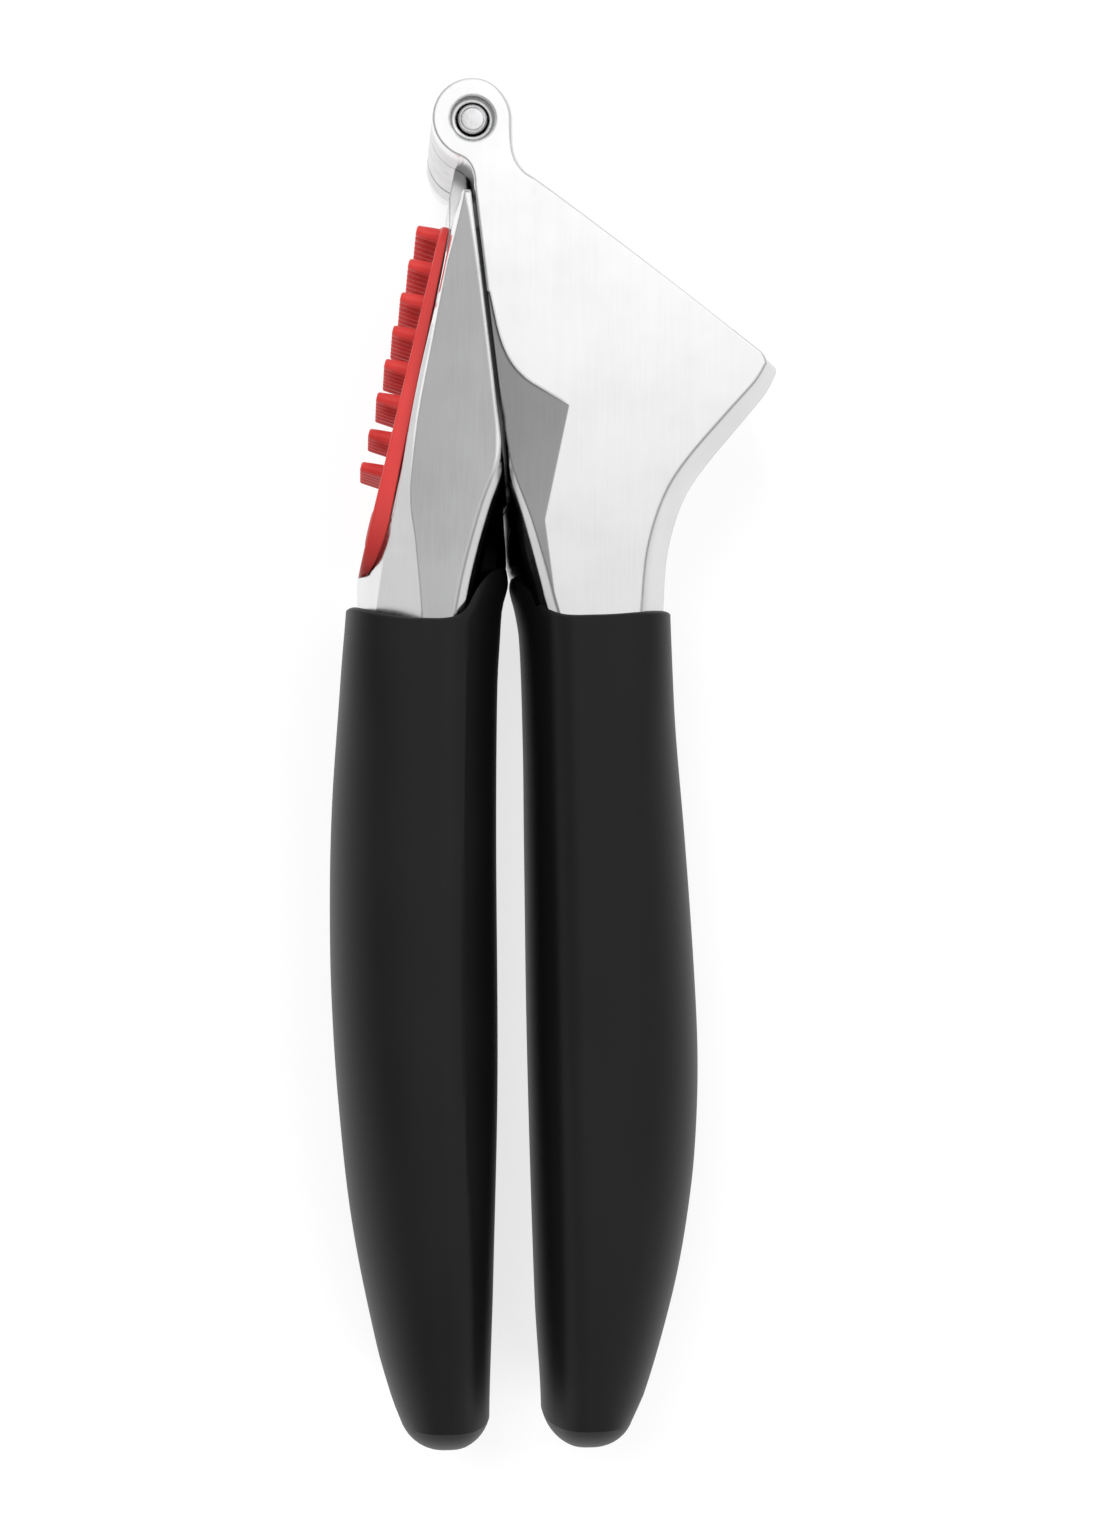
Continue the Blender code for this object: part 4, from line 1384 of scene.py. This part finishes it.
@dataclass
class Grip:
    """Soft sleeve moulded over a handle: x of its outer and inner sides and its ridge, against y."""

    bench: Bench
    name: str
    outer: Sequence[Flat]
    inner: Sequence[Flat]
    ridge: Sequence[Flat]
    rim: Sequence[Flat]           # height of the rim against x
    lip_start: float              # x where the rim's lip starts to widen
    crease: float                 # how far inside the ridge the front turns away
    dome_x: float                 # x of the lowest point of the domed end
    depth: Sequence[Flat] = ((-169.0, 12.2), (-160.0, 13.6), (-145.0, 15.2), (-125.0, 16.0), (-57.0, 16.0))
    squareness: Sequence[Flat] = ((-169.0, 2.5), (-120.0, 2.9), (-80.0, 3.4), (-66.0, 4.6), (-57.0, 4.8))
    sides: int = 120
    inner_squareness: float = 2.5
    crease_slope: float = 0.42
    dome_y: float = -167.6
    end_y: float = -171.85
    lip: float = 0.4
    inner_lip: float = 2.4
    seam_depth: float = 0.05

    def section(self, i: int, y: float, inset: float = 0.0) -> Flat:
        """Point (x, z) number i of the squarish oval section at a height.

        Args:
            i: Number of the point.
            y: Place along the handle.
            inset: Distance inside the outer skin.

        Returns:
            The point.
        """
        ridge, outer, inner = (value_at(knots, y) for knots in (self.ridge, self.outer, self.inner))
        turn = 2 * pi * i / self.sides
        across, deep = cos(turn), sin(turn)
        power = 2.0 / (value_at(self.squareness, y) if across > 0 else self.inner_squareness)
        edge = outer if across > 0 else inner
        out = (abs(edge - ridge) - inset) * abs(across) ** power
        z = (value_at(self.depth, y) - inset) * abs(deep) ** power
        if across < 0:
            beyond = max(out - self.crease, 0.0)
            z *= 1.0 - self.crease_slope * beyond / 16.0 * ease(beyond / 1.2)
        if abs(across) < 0.001:
            z -= self.seam_depth
        return (ridge + (out if edge > ridge else -out), z if deep > 0 else -z)

    def rings(self) -> list[Ring]:
        """Rings of the sleeve from the inside of its mouth, over the rim and down to the domed end.

        Returns:
            The rings, in order.
        """
        tip = value_at(self.inner, -57.0)
        heights, lips = [], []
        for i in range(self.sides):
            x = self.section(i, -60.0)[0]
            heights.append(value_at(self.rim, x))
            share = ease((x - self.lip_start) / (tip - self.lip_start) / 0.6)
            lips.append(mix(self.lip, self.inner_lip, share))

        def ring(inset: float, drop: float, lip_share: float) -> Ring:
            """Ring at a distance inside the outer skin and below the rim.

            Args:
                inset: Distance inside the skin.
                drop: Distance below the rim.
                lip_share: Share of the lip's width.

            Returns:
                The ring.
            """
            points = []
            for i, (height, lip) in enumerate(zip(heights, lips)):
                y = height - drop - lip * lip_share
                thinned = 1.0 - 0.55 * (lip - self.lip) / (self.inner_lip - self.lip)
                x, z = self.section(i, y, inset * thinned)
                points.append((x, y, z))
            return points

        inside = [self.section(i, SHOULDER_Y, 3.2) for i in range(self.sides)]
        made = [[(x, SHOULDER_Y, z) for x, z in inside]]
        rounding = ((1.35, 0.9, 0.0), (1.0, 0.2, 0.0), (0.82, 0.03, 0.0), (0.62, 0.0, 0.02), (0.4, 0.0, 0.18),
                    (0.2, 0.0, 0.42), (0.06, 0.0, 0.72), (0.0, 0.0, 1.0))
        for inset, drop, lip_share in rounding:
            made.append(ring(inset, drop, lip_share))
        level = min(height - lip for height, lip in zip(heights, lips)) - 1.2
        for share in (0.15, 0.3, 0.5, 0.75, 1.0):
            points = []
            for i, (height, lip) in enumerate(zip(heights, lips)):
                y = mix(height - lip, level, share)
                x, z = self.section(i, y)
                points.append((x, y, z))
            made.append(points)
        for step in range(1, 61):
            y = mix(level, self.dome_y, (step / 60) ** 0.93)
            made.append([(x, y, z) for x, z in (self.section(i, y) for i in range(self.sides))])
        base = made[-1]
        for step in range(1, 13):
            turn = radians(mix(16.0, 88.0, step / 12))
            shrink = cos(turn) / cos(radians(16.0))
            y = mix(self.dome_y, self.end_y, (sin(turn) - sin(radians(16.0))) / (1.0 - sin(radians(16.0))))
            made.append([(mix(self.dome_x, x, shrink), y, z * shrink) for x, _, z in base])
        return made

    def core_space(self) -> bpy.types.Object:
        """Space that the hard core takes up inside the grip.

        Returns:
            The cutter.
        """
        rings = []
        for step in range(21):
            y = mix(-66.3, -163.3, step / 20)
            rings.append([(x, y, z) for x, z in (self.section(i, y, 2.3) for i in range(0, self.sides, 3))])
        return self.bench.loft("core_space", rings)

    def tang(self) -> bpy.types.Object:
        """Tapered bar that continues the casting inside the grip and its core.

        Returns:
            The closed solid.
        """
        rings = []
        for step in range(9):
            y = mix(SHOULDER_Y + 4.0, -150.0, step / 8)
            centre, half = (value_at(self.outer, y) + value_at(self.inner, y)) / 2, mix(4.5, 2.8, step / 8)
            rings.append([(centre + half * a, y, 4.0 * b) for a, b in ((-1, -1), (1, -1), (1, 1), (-1, 1))])
        return self.bench.loft("tang", rings)

    def build(self, metal: bpy.types.Object) -> bpy.types.Object:
        """Make the grip.

        Args:
            metal: Solid of the arm that comes out of the grip, which is used up.

        Returns:
            The finished grip.
        """
        piece = self.bench.loft(self.name, self.rings())
        self.bench.combine(piece, [metal, self.core_space()], "DIFFERENCE")
        self.bench.crisp(piece, 13.0)
        return piece


PLUNGER_GRIP: dict[str, Any] = {
    "outer": ((-169.0, -8.8), (-165.0, -10.1), (-158.0, -12.1), (-142.0, -15.3), (-126.0, -17.1),
              (-112.0, -18.0), (-100.0, -18.2), (-87.0, -17.9), (-71.0, -16.8), (-57.0, -15.9)),
    "inner": ((-169.0, 2.8), (-150.0, 3.3), (-120.0, 3.9), (-90.0, 3.7), (-72.0, 3.85), (-65.5, 4.2),
              (-61.5, 4.5), (-58.6, 5.25), (-57.0, 5.3)),
    "ridge": ((-169.0, -3.0), (-110.0, -5.0), (-57.0, -4.4)),
    "rim": ((-16.5, -61.8), (-15.4, -62.0), (-11.8, -63.0), (-6.3, -63.6), (-3.0, -63.5), (-1.2, -63.0),
            (-0.1, -62.0), (1.0, -59.3), (2.2, -57.6), (3.9, -56.6), (5.1, -56.4)),
    "lip_start": -2.6,
    "crease": 3.2,
    "dome_x": -2.7,
}
HOPPER_GRIP: dict[str, Any] = {
    "outer": ((-169.0, 21.4), (-164.5, 23.2), (-157.0, 25.5), (-149.0, 27.5), (-141.0, 28.9),
              (-133.0, 29.8), (-122.0, 30.2), (-111.0, 29.8), (-93.0, 28.5), (-73.0, 26.7), (-57.0, 26.0)),
    "inner": ((-169.0, 9.85), (-153.0, 9.0), (-120.0, 8.0), (-93.0, 7.6), (-80.0, 7.45),
              (-65.5, 6.95), (-61.5, 6.3), (-58.6, 5.5), (-57.0, 5.45)),
    "ridge": ((-169.0, 15.5), (-110.0, 14.5), (-57.0, 13.5)),
    "rim": ((4.6, -56.4), (5.6, -57.1), (6.9, -58.9), (8.2, -61.0), (9.8, -62.6), (13.5, -63.1),
            (18.2, -62.95), (22.3, -62.6), (26.0, -62.3)),
    "lip_start": 10.4,
    "crease": 3.2,
    "dome_x": 15.6,
}


# ---------------------------------------------------------------- studio

@dataclass(frozen=True)
class Studio:
    """Camera, lights, world and floor round the press."""

    eye: Point = (-0.02484, -0.00073, 0.35675)
    look: Point = (0.0752, 0.0062, -0.9971)
    lens: float = 60.6
    sensor: float = 36.0

    def camera(self) -> None:
        """Make the scene's camera above the press, with +Y up in the picture."""
        data = bpy.data.cameras.new("camera")
        data.lens, data.sensor_width = self.lens, self.sensor
        data.clip_start, data.clip_end = 0.01, 20.0
        camera = bpy.data.objects.new("camera", data)
        forward = Vector(self.look).normalized()
        right = forward.cross(Vector((0.0, 1.0, 0.0))).normalized()
        turn = Matrix((right, right.cross(forward), -forward)).transposed()
        camera.matrix_world = Matrix.Translation(self.eye) @ turn.to_4x4()
        bpy.context.collection.objects.link(camera)
        bpy.context.scene.camera = camera

    def surroundings(self) -> None:
        """Pale room: one broad soft box overhead, a dim ceiling round it and bright walls."""
        world = bpy.data.worlds.new("soft_room")
        bpy.context.scene.world = world
        world.use_nodes = True
        net = Net(world.node_tree)
        where = net.node("ShaderNodeTexCoord", {}, {}, "Generated")
        x, y, z = (net.node("ShaderNodeSeparateXYZ", {}, {0: where}, index) for index in range(3))
        stops = [(0.0, 0.80), (0.2, 0.78), (0.42, 0.66), (0.62, 0.34), (0.76, 0.12), (0.86, 0.16),
                 (0.93, 0.35), (0.97, 0.48), (1.0, 0.55)]
        room = net.node("ShaderNodeValToRGB", {"stops": stops}, {"Fac": z}, 0)
        box = x.step(-0.09, -0.03) * x.step(0.6, 0.5) * y.step(-0.4, -0.3) * y.step(0.66, 0.56)
        box = box * z.step(0.3, 0.4)
        fall = [(0.0, 0.34), (0.1, 0.38), (0.4, 0.58), (0.46, 0.65), (0.55, 0.83), (0.65, 1.0)]
        front = net.node("ShaderNodeValToRGB", {"stops": fall}, {"Fac": y + 0.4}, 0)
        front = net.node("ShaderNodeVectorMath", {"operation": "SCALE"}, {0: front, "Scale": 1.34})
        shade = net.node("ShaderNodeMix", {"data_type": "RGBA"}, {"Factor": box, 6: room, 7: front}, 2)
        background = world.node_tree.nodes["Background"]
        world.node_tree.links.new(shade.link, background.inputs["Color"])

    def lamp(self, name: str, place: Point, size: float, power: float) -> None:
        """Broad soft lamp aimed at the press, which adds light without its own reflection.

        Args:
            name: The lamp's name.
            place: Its place in metres.
            size: Its width in metres.
            power: Its power in watts.
        """
        data = bpy.data.lights.new(name, "AREA")
        data.shape, data.size, data.energy = "DISK", size, power
        lamp = bpy.data.objects.new(name, data)
        lamp.location = place
        lamp.rotation_mode = "QUATERNION"
        lamp.rotation_quaternion = Vector(place).to_track_quat("Z", "Y")
        lamp.visible_glossy = False
        bpy.context.collection.objects.link(lamp)

    def floor(self) -> None:
        """Wide pale floor."""
        mesh = bpy.data.meshes.new("floor")
        wide = 8.0
        corners = [(-wide, -wide, 0), (wide, -wide, 0), (wide, wide, 0), (-wide, wide, 0)]
        mesh.from_pydata(corners, [], [(0, 1, 2, 3)])
        floor = bpy.data.objects.new("floor", mesh)
        bpy.context.collection.objects.link(floor)
        material = bpy.data.materials.new("pale_floor")
        material.use_nodes = True
        shader = material.node_tree.nodes["Principled BSDF"]
        shader.inputs["Base Color"].default_value = (0.3, 0.3, 0.3, 1.0)
        shader.inputs["Emission Color"].default_value = (1.0, 1.0, 1.0, 1.0)
        shader.inputs["Emission Strength"].default_value = 0.74
        shader.inputs["Roughness"].default_value = 0.9
        shader.inputs["Specular IOR Level"].default_value = 0.1
        mesh.materials.append(material)

    def build(self) -> None:
        """Set up the whole studio."""
        self.camera()
        self.surroundings()
        self.lamp("key", (-0.35, 0.45, 0.9), 0.7, 7.0)
        self.lamp("fill", (0.5, -0.4, 0.8), 0.8, 4.0)
        self.floor()
        bpy.context.scene.view_settings.view_transform = "Standard"


# ---------------------------------------------------------------- assembly

@dataclass
class Press:
    """The whole press."""

    bench: Bench
    nodes: dict[str, bpy.types.Object]

    def fit(self, piece: bpy.types.Object, body: Body, finish: Finish, *nodes: str) -> None:
        """Dress a piece, ride it on its half and let it stand for CAD nodes.

        Args:
            piece: The finished piece.
            body: The half it moves with.
            finish: Its material.
            nodes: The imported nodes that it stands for.
        """
        finish.dress(piece)
        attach(piece, body.value)
        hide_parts(*nodes)
        LOG.info("%s: %d faces", piece.name, len(piece.data.polygons))

    def build(self) -> None:
        """Make every piece."""
        bench = self.bench
        for name in ("hopper_core", "plunger_core"):
            HARD.dress(self.nodes[name])
            LOG.info("%s: packed node kept, new finish", name)
        hopper, plunger = HopperCasting(bench), PlungerCasting(bench)
        hopper_grip = Grip(bench, "hopper_sleeve", **HOPPER_GRIP)
        plunger_grip = Grip(bench, "plunger_sleeve", **PLUNGER_GRIP)
        self.fit(hopper_grip.build(hopper.body()), Body.HOPPER, RUBBER, "hopper_grip")
        self.fit(plunger_grip.build(plunger.body()), Body.PLUNGER, RUBBER, "plunger_grip")
        self.fit(hopper.build(hopper_grip.tang()), Body.HOPPER, ZINC, "hopper_arm")
        self.fit(plunger.build(plunger_grip.tang()), Body.PLUNGER, ZINC, "plunger_arm")
        self.fit(Strainer(bench).build(), Body.HOPPER, ZINC, "strainer_plate")
        self.fit(PlungerHead(bench, hopper).build(), Body.PLUNGER, ZINC, "plunger_head")
        self.fit(Cleaner(bench).build(), Body.PLUNGER, RED, "cleaner_plate")
        self.fit(HingePin(bench).build(), Body.HOPPER, STEEL, "hinge_pin")


def main() -> None:
    """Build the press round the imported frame."""
    logging.basicConfig(level=logging.INFO, format="%(message)s")
    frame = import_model()
    Studio().build()
    bench = Bench(Vector(frame["joints"][0]["pos_m"]))
    Press(bench, frame["nodes"]).build()


if __name__ == "__main__":
    main()
